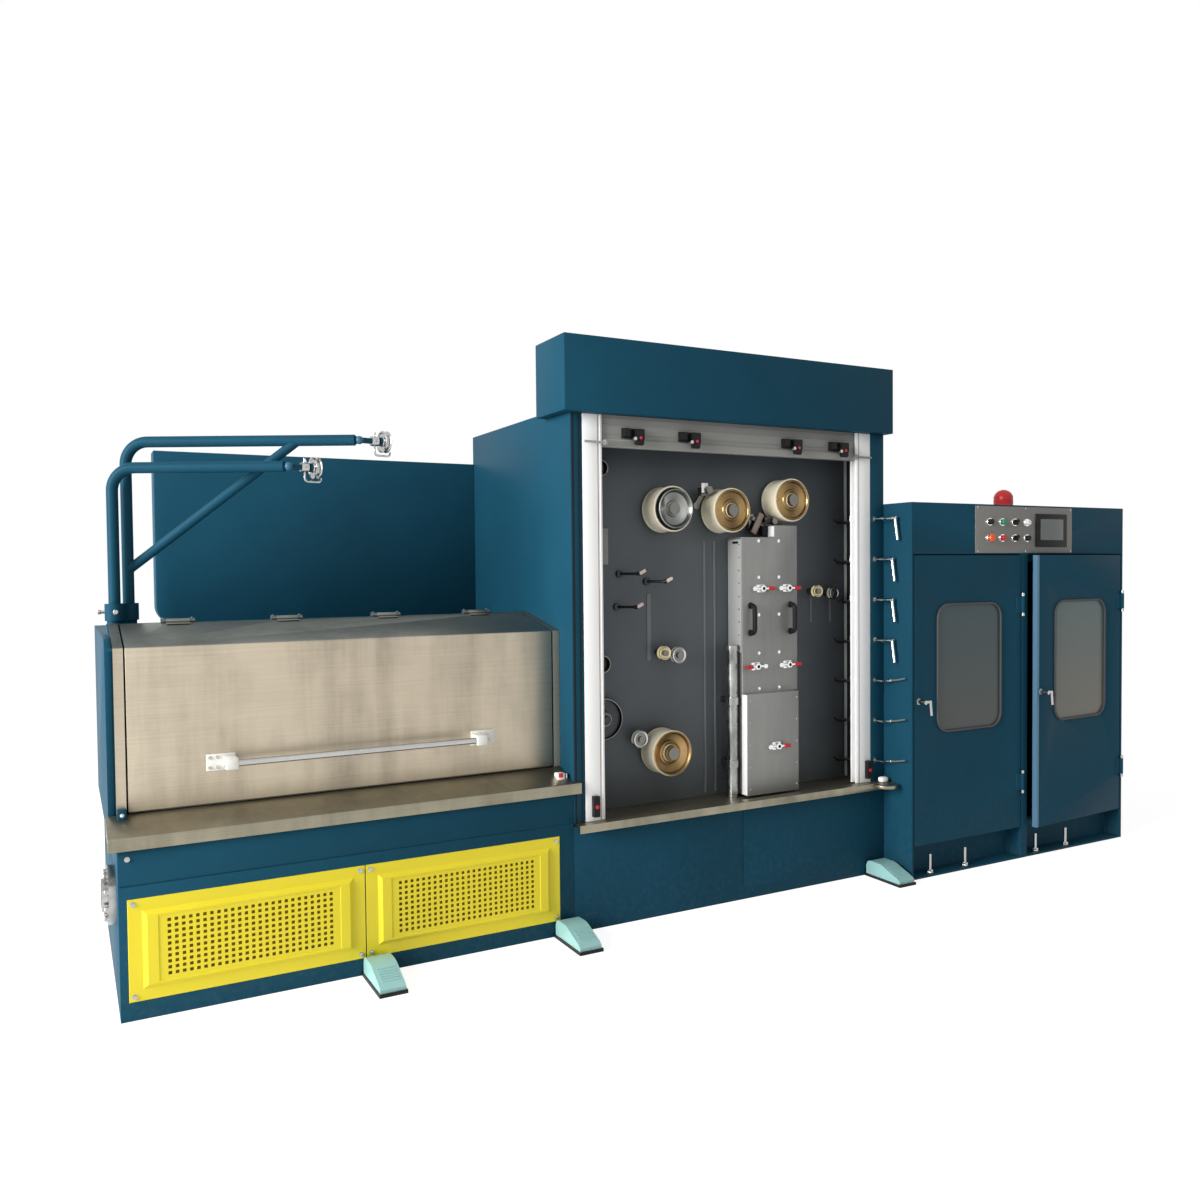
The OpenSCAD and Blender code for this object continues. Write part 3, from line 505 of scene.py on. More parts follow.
def mapped(tree, scale):
    """Object coordinates with their own scale along each axis."""
    place = tree.nodes.new("ShaderNodeTexCoord")
    mapping = tree.nodes.new("ShaderNodeMapping")
    mapping.inputs["Scale"].default_value = scale
    tree.links.new(place.outputs["Object"], mapping.inputs["Vector"])
    return mapping.outputs["Vector"]


def noise(tree, vector, scale, detail=4.0, roughness=0.55):
    node = tree.nodes.new("ShaderNodeTexNoise")
    node.inputs["Scale"].default_value = scale
    node.inputs["Detail"].default_value = detail
    node.inputs["Roughness"].default_value = roughness
    tree.links.new(vector, node.inputs["Vector"])
    return node.outputs["Fac"]


def ranged(tree, value, from_low, from_high, to_low, to_high):
    node = tree.nodes.new("ShaderNodeMapRange")
    node.inputs["From Min"].default_value = from_low
    node.inputs["From Max"].default_value = from_high
    node.inputs["To Min"].default_value = to_low
    node.inputs["To Max"].default_value = to_high
    tree.links.new(value, node.inputs["Value"])
    return node.outputs["Result"]


def calculated(tree, operation, a, b):
    node = tree.nodes.new("ShaderNodeMath")
    node.operation = operation
    for socket, value in zip(node.inputs, (a, b)):
        if isinstance(value, (int, float)):
            socket.default_value = value
        else:
            tree.links.new(value, socket)
    return node.outputs[0]


def blended(tree, factor, a, b, mode="MIX"):
    node = tree.nodes.new("ShaderNodeMix")
    node.data_type = "RGBA"
    node.blend_type = mode
    for socket, value in ((node.inputs[0], factor), (node.inputs[6], a), (node.inputs[7], b)):
        if isinstance(value, (int, float)):
            socket.default_value = value
        elif isinstance(value, tuple):
            socket.default_value = (*value[:3], 1.0)
        else:
            tree.links.new(value, socket)
    return node.outputs[2]


def paint_film():
    """Sprayed paint: orange peel, soft colour drift, dust that gathers low down."""
    name = "paint_film"
    if name in bpy.data.node_groups:
        return bpy.data.node_groups[name]
    tree, given, out = effect_group(
        name,
        [("Colour", "NodeSocketColor", (0.5, 0.5, 0.5, 1)), ("Drift", "NodeSocketFloat", 0.12),
         ("Dust", "NodeSocketFloat", 0.10), ("Gloss", "NodeSocketFloat", 0.35)],
        [("Colour", "NodeSocketColor"), ("Roughness", "NodeSocketFloat"), ("Height", "NodeSocketFloat")])
    link = tree.links.new
    plain = mapped(tree, (1, 1, 1))
    cloud = noise(tree, plain, 1.7, 5.0)
    drift = ranged(tree, cloud, 0.3, 0.7, -1.0, 1.0)
    shade = calculated(tree, "ADD", calculated(tree, "MULTIPLY", drift, given.outputs["Drift"]), 1.0)
    toned = blended(tree, 1.0, given.outputs["Colour"], shade, "MULTIPLY")
    parts = tree.nodes.new("ShaderNodeSeparateXYZ")
    link(plain, parts.inputs[0])
    lowness = ranged(tree, parts.outputs["Z"], 0.0, 0.5, 1.0, 0.12)
    speck = ranged(tree, noise(tree, plain, 38.0, 6.0, 0.7), 0.45, 0.75, 0.0, 1.0)
    dust = calculated(tree, "MULTIPLY", calculated(tree, "MULTIPLY", lowness, speck), given.outputs["Dust"])
    link(blended(tree, dust, toned, DUST_TONE), out.inputs["Colour"])
    peel = noise(tree, plain, 240.0, 2.0)
    rough = calculated(tree, "ADD", given.outputs["Gloss"], ranged(tree, cloud, 0.3, 0.7, -0.05, 0.07))
    link(calculated(tree, "ADD", rough, calculated(tree, "MULTIPLY", dust, 0.6)), out.inputs["Roughness"])
    link(peel, out.inputs["Height"])
    return tree


def brushed_grain():
    """Brushed or rolled metal: long fine lines, soft stains, and a greyer painted shade above a height."""
    name = "brushed_grain"
    if name in bpy.data.node_groups:
        return bpy.data.node_groups[name]
    tree, given, out = effect_group(
        name,
        [("Colour", "NodeSocketColor", (0.6, 0.6, 0.6, 1)), ("Along", "NodeSocketVector", (6, 300, 300)),
         ("Streak", "NodeSocketFloat", 0.10), ("Stain", "NodeSocketFloat", 0.2),
         ("Gloss", "NodeSocketFloat", 0.3), ("Painted Shade From", "NodeSocketFloat", 50.0)],
        [("Colour", "NodeSocketColor"), ("Roughness", "NodeSocketFloat"), ("Height", "NodeSocketFloat")])
    link = tree.links.new
    place = tree.nodes.new("ShaderNodeTexCoord")
    mapping = tree.nodes.new("ShaderNodeMapping")
    link(place.outputs["Object"], mapping.inputs["Vector"])
    link(given.outputs["Along"], mapping.inputs["Scale"])
    lines = noise(tree, mapping.outputs["Vector"], 1.0, 3.0, 0.6)
    plain = mapped(tree, (1, 1, 1))
    cloud = noise(tree, plain, 2.6, 6.0, 0.6)
    run = noise(tree, mapped(tree, (9, 9, 0.9)), 1.0, 4.0, 0.6)
    streak = calculated(tree, "MULTIPLY", ranged(tree, lines, 0.3, 0.7, -1.0, 1.0), given.outputs["Streak"])
    spread = ranged(tree, calculated(tree, "MULTIPLY", cloud, run), 0.18, 0.42, 0.0, 1.0)
    stain = calculated(tree, "MULTIPLY", spread, given.outputs["Stain"])
    shade = calculated(tree, "ADD", calculated(tree, "SUBTRACT", streak, stain), 1.0)
    parts = tree.nodes.new("ShaderNodeSeparateXYZ")
    link(plain, parts.inputs[0])
    # Painted shade: everything above the given height is tinted greyer and bluer.
    above = calculated(tree, "SUBTRACT", parts.outputs["Z"], given.outputs["Painted Shade From"])
    painted_shade = ranged(tree, above, 0.0, 0.006, 0.0, 1.0)
    toned = blended(tree, 1.0, given.outputs["Colour"], shade, "MULTIPLY")
    painted_shade_tone = blended(tree, 1.0, toned, PAINTED_SHADE_TINT, "MULTIPLY")
    link(blended(tree, painted_shade, toned, painted_shade_tone), out.inputs["Colour"])
    rough = calculated(tree, "ADD", given.outputs["Gloss"], calculated(tree, "MULTIPLY", stain, 0.35))
    link(calculated(tree, "ADD", rough, calculated(tree, "MULTIPLY", streak, 0.4)), out.inputs["Roughness"])
    link(lines, out.inputs["Height"])
    return tree


def frosted_pane():
    """Frosted sheet: one tone at its foot, another at its head, with faint wiping marks."""
    name = "frosted_pane"
    if name in bpy.data.node_groups:
        return bpy.data.node_groups[name]
    tree, given, out = effect_group(
        name,
        [("Colour", "NodeSocketColor", (0.1, 0.1, 0.1, 1)),
         ("Colour Top", "NodeSocketColor", (0.1, 0.1, 0.1, 1)),
         ("Foot", "NodeSocketFloat", 0.0), ("Head", "NodeSocketFloat", 1.0),
         ("Gloss", "NodeSocketFloat", 0.3)],
        [("Colour", "NodeSocketColor"), ("Roughness", "NodeSocketFloat"), ("Height", "NodeSocketFloat")])
    plain = mapped(tree, (1, 1, 1))
    parts = tree.nodes.new("ShaderNodeSeparateXYZ")
    tree.links.new(plain, parts.inputs[0])
    run = calculated(tree, "SUBTRACT", given.outputs["Head"], given.outputs["Foot"])
    rise = calculated(tree, "SUBTRACT", parts.outputs["Z"], given.outputs["Foot"])
    wipe = ranged(tree, noise(tree, mapped(tree, (2, 2, 7)), 2.0, 5.0), 0.3, 0.7, -0.04, 0.04)
    share = calculated(tree, "ADD", calculated(tree, "DIVIDE", rise, run), wipe)
    share = ranged(tree, share, 0.1, 0.95, 0.0, 1.0)
    tree.links.new(blended(tree, share, given.outputs["Colour"], given.outputs["Colour Top"]),
                   out.inputs["Colour"])
    rough = calculated(tree, "ADD", given.outputs["Gloss"], calculated(tree, "MULTIPLY", wipe, 0.4))
    tree.links.new(rough, out.inputs["Roughness"])
    tree.links.new(noise(tree, plain, 300.0, 2.0), out.inputs["Height"])
    return tree


def turned_rings():
    """Lathe marks: fine circles about an axis that points at the operator, with a painted glint lighter at the
    sides and darker above and below.
    """
    name = "turned_rings"
    if name in bpy.data.node_groups:
        return bpy.data.node_groups[name]
    tree, given, out = effect_group(
        name,
        [("Colour", "NodeSocketColor", (0.6, 0.6, 0.6, 1)), ("Centre", "NodeSocketVector", (0, 0, 0)),
         ("Rings", "NodeSocketFloat", 900.0), ("Depth", "NodeSocketFloat", 0.10),
         ("Gloss", "NodeSocketFloat", 0.25), ("Painted Glint", "NodeSocketFloat", 0.85)],
        [("Colour", "NodeSocketColor"), ("Roughness", "NodeSocketFloat"), ("Height", "NodeSocketFloat")])
    link = tree.links.new
    place = tree.nodes.new("ShaderNodeTexCoord")
    offset = tree.nodes.new("ShaderNodeVectorMath")
    offset.operation = "SUBTRACT"
    link(place.outputs["Object"], offset.inputs[0])
    link(given.outputs["Centre"], offset.inputs[1])
    flat = tree.nodes.new("ShaderNodeVectorMath")
    flat.operation = "MULTIPLY"
    flat.inputs[1].default_value = (1, 0, 1)
    link(offset.outputs[0], flat.inputs[0])
    reach = tree.nodes.new("ShaderNodeVectorMath")
    reach.operation = "LENGTH"
    link(flat.outputs[0], reach.inputs[0])
    around = tree.nodes.new("ShaderNodeCombineXYZ")
    link(calculated(tree, "MULTIPLY", reach.outputs["Value"], given.outputs["Rings"]), around.inputs["X"])
    marks = noise(tree, around.outputs[0], 1.0, 3.0, 0.6)
    cloud = noise(tree, mapped(tree, (1, 1, 1)), 14.0, 5.0)
    ripple = calculated(tree, "MULTIPLY", ranged(tree, marks, 0.3, 0.7, -1.0, 1.0), given.outputs["Depth"])
    tarnish = ranged(tree, cloud, 0.4, 0.75, 0.0, 0.25)
    pointing = tree.nodes.new("ShaderNodeVectorMath")
    pointing.operation = "NORMALIZE"
    link(flat.outputs[0], pointing.inputs[0])
    parts = tree.nodes.new("ShaderNodeSeparateXYZ")
    link(pointing.outputs[0], parts.inputs[0])
    # Painted glint: the face is made lighter left and right of its centre and darker above and below it.
    sideways = calculated(tree, "MULTIPLY", parts.outputs["X"], parts.outputs["X"])
    level = calculated(tree, "SUBTRACT", sideways, 0.5)
    painted_glint = calculated(tree, "MULTIPLY", level, given.outputs["Painted Glint"])
    shade = calculated(tree, "SUBTRACT", calculated(tree, "ADD", ripple, 1.0), tarnish)
    shade = calculated(tree, "ADD", shade, painted_glint)
    link(blended(tree, 1.0, given.outputs["Colour"], shade, "MULTIPLY"), out.inputs["Colour"])
    link(calculated(tree, "ADD", given.outputs["Gloss"], calculated(tree, "MULTIPLY", tarnish, 0.5)),
         out.inputs["Roughness"])
    link(marks, out.inputs["Height"])
    return tree


# Finishes

def finish(name, group, values, metallic=0.0, bump=0.05, reach=0.001, level=0.5):
    """A material whose colour, roughness and relief come from a shared effect."""
    name = "finish_" + name
    if name in bpy.data.materials:
        return bpy.data.materials[name]
    material = bpy.data.materials.new(name)
    material.use_nodes = True
    tree = material.node_tree
    surface = tree.nodes["Principled BSDF"]
    effect = tree.nodes.new("ShaderNodeGroup")
    effect.node_tree = group
    for title, value in values.items():
        effect.inputs[title].default_value = (*value, 1.0) if title.startswith("Colour") else value
    relief = tree.nodes.new("ShaderNodeBump")
    relief.inputs["Strength"].default_value = bump
    relief.inputs["Distance"].default_value = reach
    tree.links.new(effect.outputs["Colour"], surface.inputs["Base Color"])
    tree.links.new(effect.outputs["Roughness"], surface.inputs["Roughness"])
    tree.links.new(effect.outputs["Height"], relief.inputs["Height"])
    tree.links.new(relief.outputs["Normal"], surface.inputs["Normal"])
    surface.inputs["Metallic"].default_value = metallic
    surface.inputs["Specular IOR Level"].default_value = level
    return material


def paint(name, shade, drift=0.10, dust=0.08, gloss=0.38, level=0.3, bump=0.06):
    return finish(name, paint_film(), {"Colour": shade, "Drift": drift, "Dust": dust, "Gloss": gloss},
                  bump=bump, reach=0.0006, level=level)


def metal(name, shade, along=(6, 300, 300), streak=0.10, stain=0.15, gloss=0.3, bump=0.05, metallic=1.0,
          painted_shade_from=50.0):
    return finish(name, brushed_grain(), {"Colour": shade, "Along": along, "Streak": streak, "Stain": stain,
                                          "Gloss": gloss, "Painted Shade From": painted_shade_from},
                  metallic=metallic, bump=bump, reach=0.0004)


# Turned faces carry the painted glint of the shared lathe-mark effect.
def turned(name, shade, centre, gloss=0.22, depth=0.12):
    return finish(name, turned_rings(), {"Colour": shade, "Centre": tuple(centre), "Depth": depth,
                                         "Gloss": gloss},
                  metallic=1.0, bump=0.12, reach=0.0004)


def blue_paint():
    return paint("blue_paint", tuple(colours().blue), drift=0.10, dust=0.04, gloss=0.45, level=0.06)


def yellow_paint():
    return paint("yellow_paint", tuple(colours().yellow), drift=0.05, dust=0.05, gloss=0.32, level=0.4)


def stainless():
    # The cover's sheet is painted greyer above its bend: painted shade on the sloped top.
    bend = low("cover_handle").z + COVER_BEND
    return metal("stainless", tuple(colours().stainless), (3, 420, 420), 0.07, 0.35, 0.40, painted_shade_from=bend)


def bright_steel():
    return metal("bright_steel", tuple(colours().bright), (140, 140, 140), 0.06, 0.12, 0.2)


def stud_steel():
    return metal("stud_steel", tuple(colours().stud), (60, 60, 60), 0.06, 0.15, 0.2, bump=0.01)


def dark_steel():
    return metal("dark_steel", tuple(colours().dark), (120, 120, 120), 0.12, 0.2, 0.42)


def brass():
    return metal("brass", tuple(colours().brass), (150, 150, 150), 0.08, 0.2, 0.25)


def white_paint():
    return paint("white_paint", tuple(colours().white), drift=0.02, dust=0.04, gloss=0.35, level=0.4)


def plate_paint():
    return paint("dark_grey_paint", tuple(colours().plate), drift=0.12, dust=0.08, gloss=0.42, level=0.35)


def grey_paint():
    return paint("grey_paint", tuple(colours().grey), drift=0.05, dust=0.05, gloss=0.4)


def cream_ceramic():
    return paint("cream_ceramic", tuple(colours().cream), drift=0.10, dust=0.10, gloss=0.4, level=0.4)


def chamber_steel():
    return metal("chamber_steel", tuple(colours().chamber), (260, 260, 8), 0.06, 0.12, 0.48, metallic=0.55)


def black_plastic():
    return paint("black_plastic", tuple(colours().black), drift=0.15, dust=0.05, gloss=0.42, level=0.15,
                 bump=0.12)


def red_plastic():
    return paint("red_plastic", tuple(colours().red), drift=0.06, dust=0.05, gloss=0.35, level=0.45)


def mint_paint():
    return paint("mint_paint", tuple(colours().mint), drift=0.06, dust=0.12, gloss=0.42, level=0.4)


# A lift above one makes a lit copy of the glass: painted light.
def frosted_window(name="window_glass", painted_light_lift=(1.0, 1.0, 1.0)):
    foot = [value * by for value, by in zip(colours().glass, painted_light_lift)]
    head = [value * by for value, by in zip(colours().glass_top, painted_light_lift)]
    return finish(name, frosted_pane(), {"Colour": foot, "Colour Top": head, "Foot": low("left_window").z,
                                         "Head": high("left_window").z}, bump=0.0, reach=0.0006, level=0.35)


# The right window takes the window colours lifted: painted light on the glass of the door that stands ajar.
def painted_light_window():
    return frosted_window("painted_light_window", (2.3, 1.95, 1.75))


def pale_brass():
    return metal("pale_brass", tuple(colours().pale_brass), (150, 150, 150), 0.08, 0.2, 0.22)


def polished_steel():
    return metal("polished_steel", tuple(colours().polished), (140, 140, 140), 0.03, 0.05, 0.14)


def apron_steel():
    return metal("apron_steel", tuple(colours().apron), (3, 420, 420), 0.08, 0.4, 0.36)


def fascia_paint():
    return paint("fascia_paint", tuple(colours().fascia), drift=0.04, dust=0.04, gloss=0.4)


def strip_paint():
    return paint("strip_paint", tuple(colours().strip), drift=0.06, dust=0.06, gloss=0.4)


def ivory_plastic():
    return paint("ivory_plastic", tuple(colours().ivory), drift=0.05, dust=0.04, gloss=0.4, level=0.35)


def hinge_steel():
    return metal("hinge_steel", tuple(colours().hinge), (40, 200, 200), 0.06, 0.15, 0.42, metallic=0.6)


def guard_painted_shade_back():
    return paint("guard_painted_shade_back", tuple(colours().guard_painted_shade_back), drift=0.10, dust=0.10, gloss=0.5, level=0.2)


def tube_glass():
    return metal("tube_glass", tuple(colours().tube), (26, 26, 9), 0.35, 0.5, 0.16, bump=0.02)


def rail_shadow_line():
    return paint("rail_shadow_line", tuple(colours().rail_shadow_line), drift=0.10, dust=0.05, gloss=0.5, level=0.2)


def shade_lip_paint():
    return paint("shade_lip_paint", tuple(colours().shade_lip), drift=0.06, dust=0.05, gloss=0.5, level=0.2)


def edge_highlight_paint():
    return paint("edge_highlight_paint", tuple(colours().edge), drift=0.05, dust=0.03, gloss=0.35, level=0.4)


def painted_light_sheet():
    return paint("painted_light_sheet", tuple(colours().sheet), drift=0.05, dust=0.10, gloss=0.45, level=0.3)


def grey_rubber():
    return paint("grey_rubber", tuple(colours().rubber), drift=0.06, dust=0.05, gloss=0.5, level=0.2)


def plain_plastic(name, shade, gloss=0.3):
    return paint(name, shade, drift=0.05, dust=0.03, gloss=gloss, level=0.5)


SLOT_FINISH = {
    "blue_paint": blue_paint, "stainless": stainless, "bright_steel": bright_steel, "dark_steel": dark_steel,
    "brass": brass, "yellow_paint": yellow_paint, "white_paint": white_paint, "dark_grey_paint": plate_paint,
    "grey_paint": grey_paint, "cream_ceramic": cream_ceramic, "chamber_steel": chamber_steel,
    "black_plastic": black_plastic, "screen_black": black_plastic, "button_plastic": black_plastic,
    "red_lens": red_plastic, "red_grip": red_plastic, "window_glass": frosted_window,
    "black_rubber": black_plastic, "mint_paint": mint_paint,
}


NODE_FINISH = {
    "pulley_studs": stud_steel, "guide_pulley_2": stud_steel, "guide_pulley_4": stud_steel,
    "guide_pulley_5": stud_steel, "contact_brushes": stud_steel, "sight_tube": tube_glass,
    "guide_pulley_1": pale_brass, "guide_pulley_3": pale_brass, "drip_apron": apron_steel,
    "control_panel": fascia_paint, "right_window": painted_light_window, "cover_hinges": hinge_steel,
    "sill_tray": apron_steel,
}


def node_slot(node):
    for row in frame["record"]["subparts"]:
        if row["node"] == node:
            return row["material_slot"]
    raise KeyError(node)


def node_body(node):
    for body, nodes in frame["record"]["behaviour"]["bodies"].items():
        if node in nodes:
            return body
    raise KeyError(node)


def dressed(node, edge, angle=25):
    """A copy of a sheet-metal node with its doubles merged and its sharp edges rounded."""
    bm = bmesh.new()
    bm.from_mesh(frame["nodes"][node].data)
    bmesh.ops.remove_doubles(bm, verts=bm.verts, dist=2e-5)
    bmesh.ops.dissolve_limit(bm, angle_limit=math.radians(0.4), verts=bm.verts, edges=bm.edges)
    sharp = [e for e in bm.edges if len(e.link_faces) == 2 and e.calc_face_angle(0) > math.radians(angle)]
    bmesh.ops.bevel(bm, geom=sharp, offset=edge, segments=2, profile=0.5, affect="EDGES", clamp_overlap=True)
    mesh = bpy.data.meshes.new(node + "_sheet")
    bm.to_mesh(mesh)
    bm.free()
    slot = node_slot(node)
    surface = NODE_FINISH.get(node, SLOT_FINISH[slot])()
    return settle(mesh, node + "_sheet", surface, node_body(node), (node,), smooth=30)


# Operators

class WIREMACHINE_OT_finishes(bpy.types.Operator):
    """Give every solid of the machine its finish"""
    bl_idname = "wiremachine.finishes"
    bl_label = "Finishes"

    def execute(self, context):
        for node, piece in frame["nodes"].items():
            piece.data.materials.clear()
            piece.data.materials.append(NODE_FINISH.get(node, SLOT_FINISH[node_slot(node)])())
        return {"FINISHED"}


class WIREMACHINE_OT_housings(bpy.types.Operator):
    """Round the folded edges of the housings and sheets"""
    bl_idname = "wiremachine.housings"
    bl_label = "Housings"

    def execute(self, context):
        edge = sizes().edge
        for node in ("drawing_base", "chamber_housing", "rear_hood", "annealer_base", "annealer_cabinet",
                     "shutter_box", "spooler_cabinet", "left_door", "right_door", "guide_rails",
                     "annealing_chamber"):
            dressed(node, edge)
        for node in ("drip_apron", "chamber_cover", "sill_tray", "control_panel", "operator_screen",
                     "mounting_plate", "shutter_bar"):
            dressed(node, edge * 0.5)
        return {"FINISHED"}


class WIREMACHINE_OT_guards(bpy.types.Operator):
    """Build the two perforated guards of the drawing base"""
    bl_idname = "wiremachine.guards"
    bl_label = "Guards"

    def execute(self, context):
        s = sizes()
        box_low = low("guard_panels")
        box_high = high("guard_panels")
        length_each = (box_high.x - box_low.x - GUARD_GAP) / 2
        for i, name in enumerate(("left_guard", "right_guard")):
            x0 = box_low.x + i * (length_each + GUARD_GAP)
            self.one(name, x0, x0 + length_each, box_low, box_high, s)
        return {"FINISHED"}

    def one(self, name, x0, x1, box_low, box_high, s):
        back = box_high.y
        front = box_low.y
        flange = back - 3 * MM
        z0 = box_low.z
        z1 = box_high.z
        proud = flange - front
        rim_x = 46 * MM
        rim_z = 42 * MM
        middle_x = (x0 + x1) / 2
        middle_z = (z0 + z1) / 2
        sheet = 2 * MM
        field_w = s.guard_columns * s.guard_pitch_x
        field_h = s.guard_rows * s.guard_pitch_z
        line_x = 22 * MM
        line_z = 10 * MM
        step = 2.5 * MM

        def ring(width, height, y):
            return [(middle_x + sx * width / 2, y, middle_z + sz * height / 2)
                    for sx, sz in ((-1, -1), (1, -1), (1, 1), (-1, 1))]

        wide = x1 - x0
        tall = z1 - z0
        top_w = wide - 2 * rim_x - 2 * proud
        top_h = tall - 2 * rim_z - 2 * proud
        inner_w = field_w + 2 * line_x
        inner_h = field_h + 2 * line_z
        loops = [ring(wide, tall, back), ring(wide, tall, flange + 1 * MM),
                 ring(wide - 2 * MM, tall - 2 * MM, flange),
                 ring(wide - 2 * rim_x + 4 * MM, tall - 2 * rim_z + 4 * MM, flange),
                 ring(wide - 2 * rim_x, tall - 2 * rim_z, flange - 1.5 * MM),
                 ring(top_w + 3 * MM, top_h + 3 * MM, front + 1.5 * MM), ring(top_w, top_h, front),
                 ring(inner_w + step, inner_h + step, front), ring(inner_w, inner_h, front + step),
                 ring(field_w, field_h, front + step)]
        pan = Shape()
        for a, b in zip(loops, loops[1:]):
            for k in range(4):
                j = (k + 1) % 4
                pan.face([a[k], a[j], b[j], b[k]])
        cell = self.cell(s, sheet)
        grid = grown(cell, perforation_tree(),
                     {"Columns": s.guard_columns, "Rows": s.guard_rows, "Width": field_w - s.guard_pitch_x,
                      "Height": field_h - s.guard_pitch_z, "Material": yellow_paint()})
        upright = Matrix.Rotation(math.pi / 2, 4, "X")
        grid.transform(Matrix.Translation((middle_x, front + step, middle_z)) @ upright)
        pan.bm.from_mesh(grid)
        bpy.data.meshes.remove(grid)
        for face in pan.bm.faces:
            face.material_index = 0
        # Sheet behind the holes in a darkened yellow-brown: painted shade seen through them.
        pan.material = 1
        pan.box((x0 + rim_x, back - 2 * MM, z0 + rim_z), (x1 - rim_x, back - 0.5 * MM, z1 - rim_z))
        pan.done(name, [yellow_paint(), guard_painted_shade_back()], "machine", ("guard_panels",),
                 merge=2e-5)
        inset = 17 * MM
        corners = [(x, flange, z) for x in (x0 + inset, x1 - inset) for z in (z0 + inset, z1 - inset)]
        steel_screws(name + "_screws", corners, (0, -1, 0), s.screw, 6 * MM, 18)

    def cell(self, s, sheet):
        """One square of sheet with a square hole, drawn flat about the origin."""
        cell = bmesh.new()

        def ring(width, height, depth):
            return [cell.verts.new((sx * width / 2, sz * height / 2, depth))
                    for sx, sz in ((-1, -1), (1, -1), (1, 1), (-1, 1))]

        loops = [ring(s.guard_pitch_x, s.guard_pitch_z, 0), ring(s.guard_hole, s.guard_hole, 0),
                 ring(s.guard_hole, s.guard_hole, -sheet)]
        for a, b in zip(loops, loops[1:]):
            for k in range(4):
                j = (k + 1) % 4
                cell.faces.new((a[k], a[j], b[j], b[k]))
        mesh = bpy.data.meshes.new("guard_cell")
        cell.to_mesh(mesh)
        cell.free()
        return mesh


class WIREMACHINE_OT_cover(bpy.types.Operator):
    """Build the cover's handle, hinge screws, switch, foot and the grey lip of painted shade under its edge"""
    bl_idname = "wiremachine.cover"
    bl_label = "Cover fittings"

    def execute(self, context):
        a = low("cover_handle")
        b = high("cover_handle")
        z = (a.z + b.z) / 2
        rod_r = 12 * MM
        y = a.y + 14 * MM
        bar = Shape()
        bar.rod((a.x, y, z), (b.x, y, z), rod_r, 24, 2 * MM)
        bar.done("handle_tube", bright_steel(), "cover")
        ends = Shape()
        block = 22 * MM
        lug = 78 * MM
        lug_face = b.y - 8 * MM
        brackets = ((a.x + 26 * MM, -1), (b.x - 26 * MM, 1))
        for x, way in brackets:
            ends.box((x - block, y - 17 * MM, z - 20 * MM), (x + block, b.y - 4 * MM, z + 20 * MM), 4 * MM)
            ends.box((x - way * block, lug_face, z - 30 * MM), (x + way * lug, b.y, z + 30 * MM), 3 * MM)
        ends.done("handle_ends", ivory_plastic(), "cover", ("cover_handle",))
        screws = [(x + way * dx, lug_face, z + dz) for x, way in brackets
                  for dx in (lug - 38 * MM, lug - 12 * MM) for dz in (-18 * MM, 18 * MM)]
        steel_screws("handle_screws", screws, (0, -1, 0), 6 * MM, 4 * MM, 14, body="cover")
        self.hinge_screws()
        self.switch()
        self.foot()
        self.shade_lip()
        return {"FINISHED"}

    def shade_lip(self):
        """Grey lip behind the cover's lower edge: painted shade in the gap there."""
        a = low("chamber_cover")
        b = high("chamber_cover")
        z = high("drip_apron").z
        lip = Shape()
        lip.box((a.x + 2 * MM, a.y + 10 * MM, z), (b.x - 2 * MM, a.y + 13 * MM, z + 16 * MM), 1 * MM)
        lip.done("cover_shade_lip", shade_lip_paint(), "machine")

    def hinge_screws(self):
        a = low("cover_hinges")
        b = high("cover_hinges")
        count = 4
        span = (high("chamber_cover").x - low("chamber_cover").x) / count
        first = low("chamber_cover").x + span / 2
        points = [(first + i * span + side * 52 * MM, b.y - 9 * MM, a.z + 15 * MM) for i in range(count)
                  for side in (-1, 1)]
        fasteners("hinge_screws", points, (0, 0, 1), 4.5 * MM, 4 * MM, hinge_steel(), "machine",
                  14)

    def switch(self):
        """Safety switch on the right end of the apron."""
        apron = high("drip_apron")
        x = high("drawing_base").x - 34 * MM
        y = low("drip_apron").y + 40 * MM
        z = apron.z - 30 * MM
        shell = Shape()
        shell.box((x - 26 * MM, y, z - 14 * MM), (x + 8 * MM, y + 34 * MM, z + 20 * MM), 3 * MM)
        shell.material = 1
        shell.box((x - 22 * MM, y - 8 * MM, z + 4 * MM), (x - 4 * MM, y + 1 * MM, z + 22 * MM), 2 * MM)
        shell.material = 2
        shell.rod((x + 20 * MM, y + 12 * MM, z - 16 * MM), (x + 20 * MM, y + 12 * MM, z + 16 * MM), 6 * MM,
                  16, 1 * MM)
        shell.done("cover_switch", [white_paint(), red_plastic(), bright_steel()], "machine")

    def foot(self):
        """Blue clamp at the foot of the left jamb."""
        jamb = low("chamber_jambs")
        x = jamb.x
        y = jamb.y
        z = jamb.z
        clamp = Shape()
        clamp.box((x + 1 * MM, y - 34 * MM, z - 16 * MM), (x + 31 * MM, y - 1 * MM, z + 22 * MM), 4 * MM)
        clamp.done("jamb_foot", blue_paint(), "machine")
        steel_screws("jamb_foot_screw", [(x + 16 * MM, y - 34 * MM, z + 4 * MM)], (0, -1, 0), 7 * MM, 6 * MM)


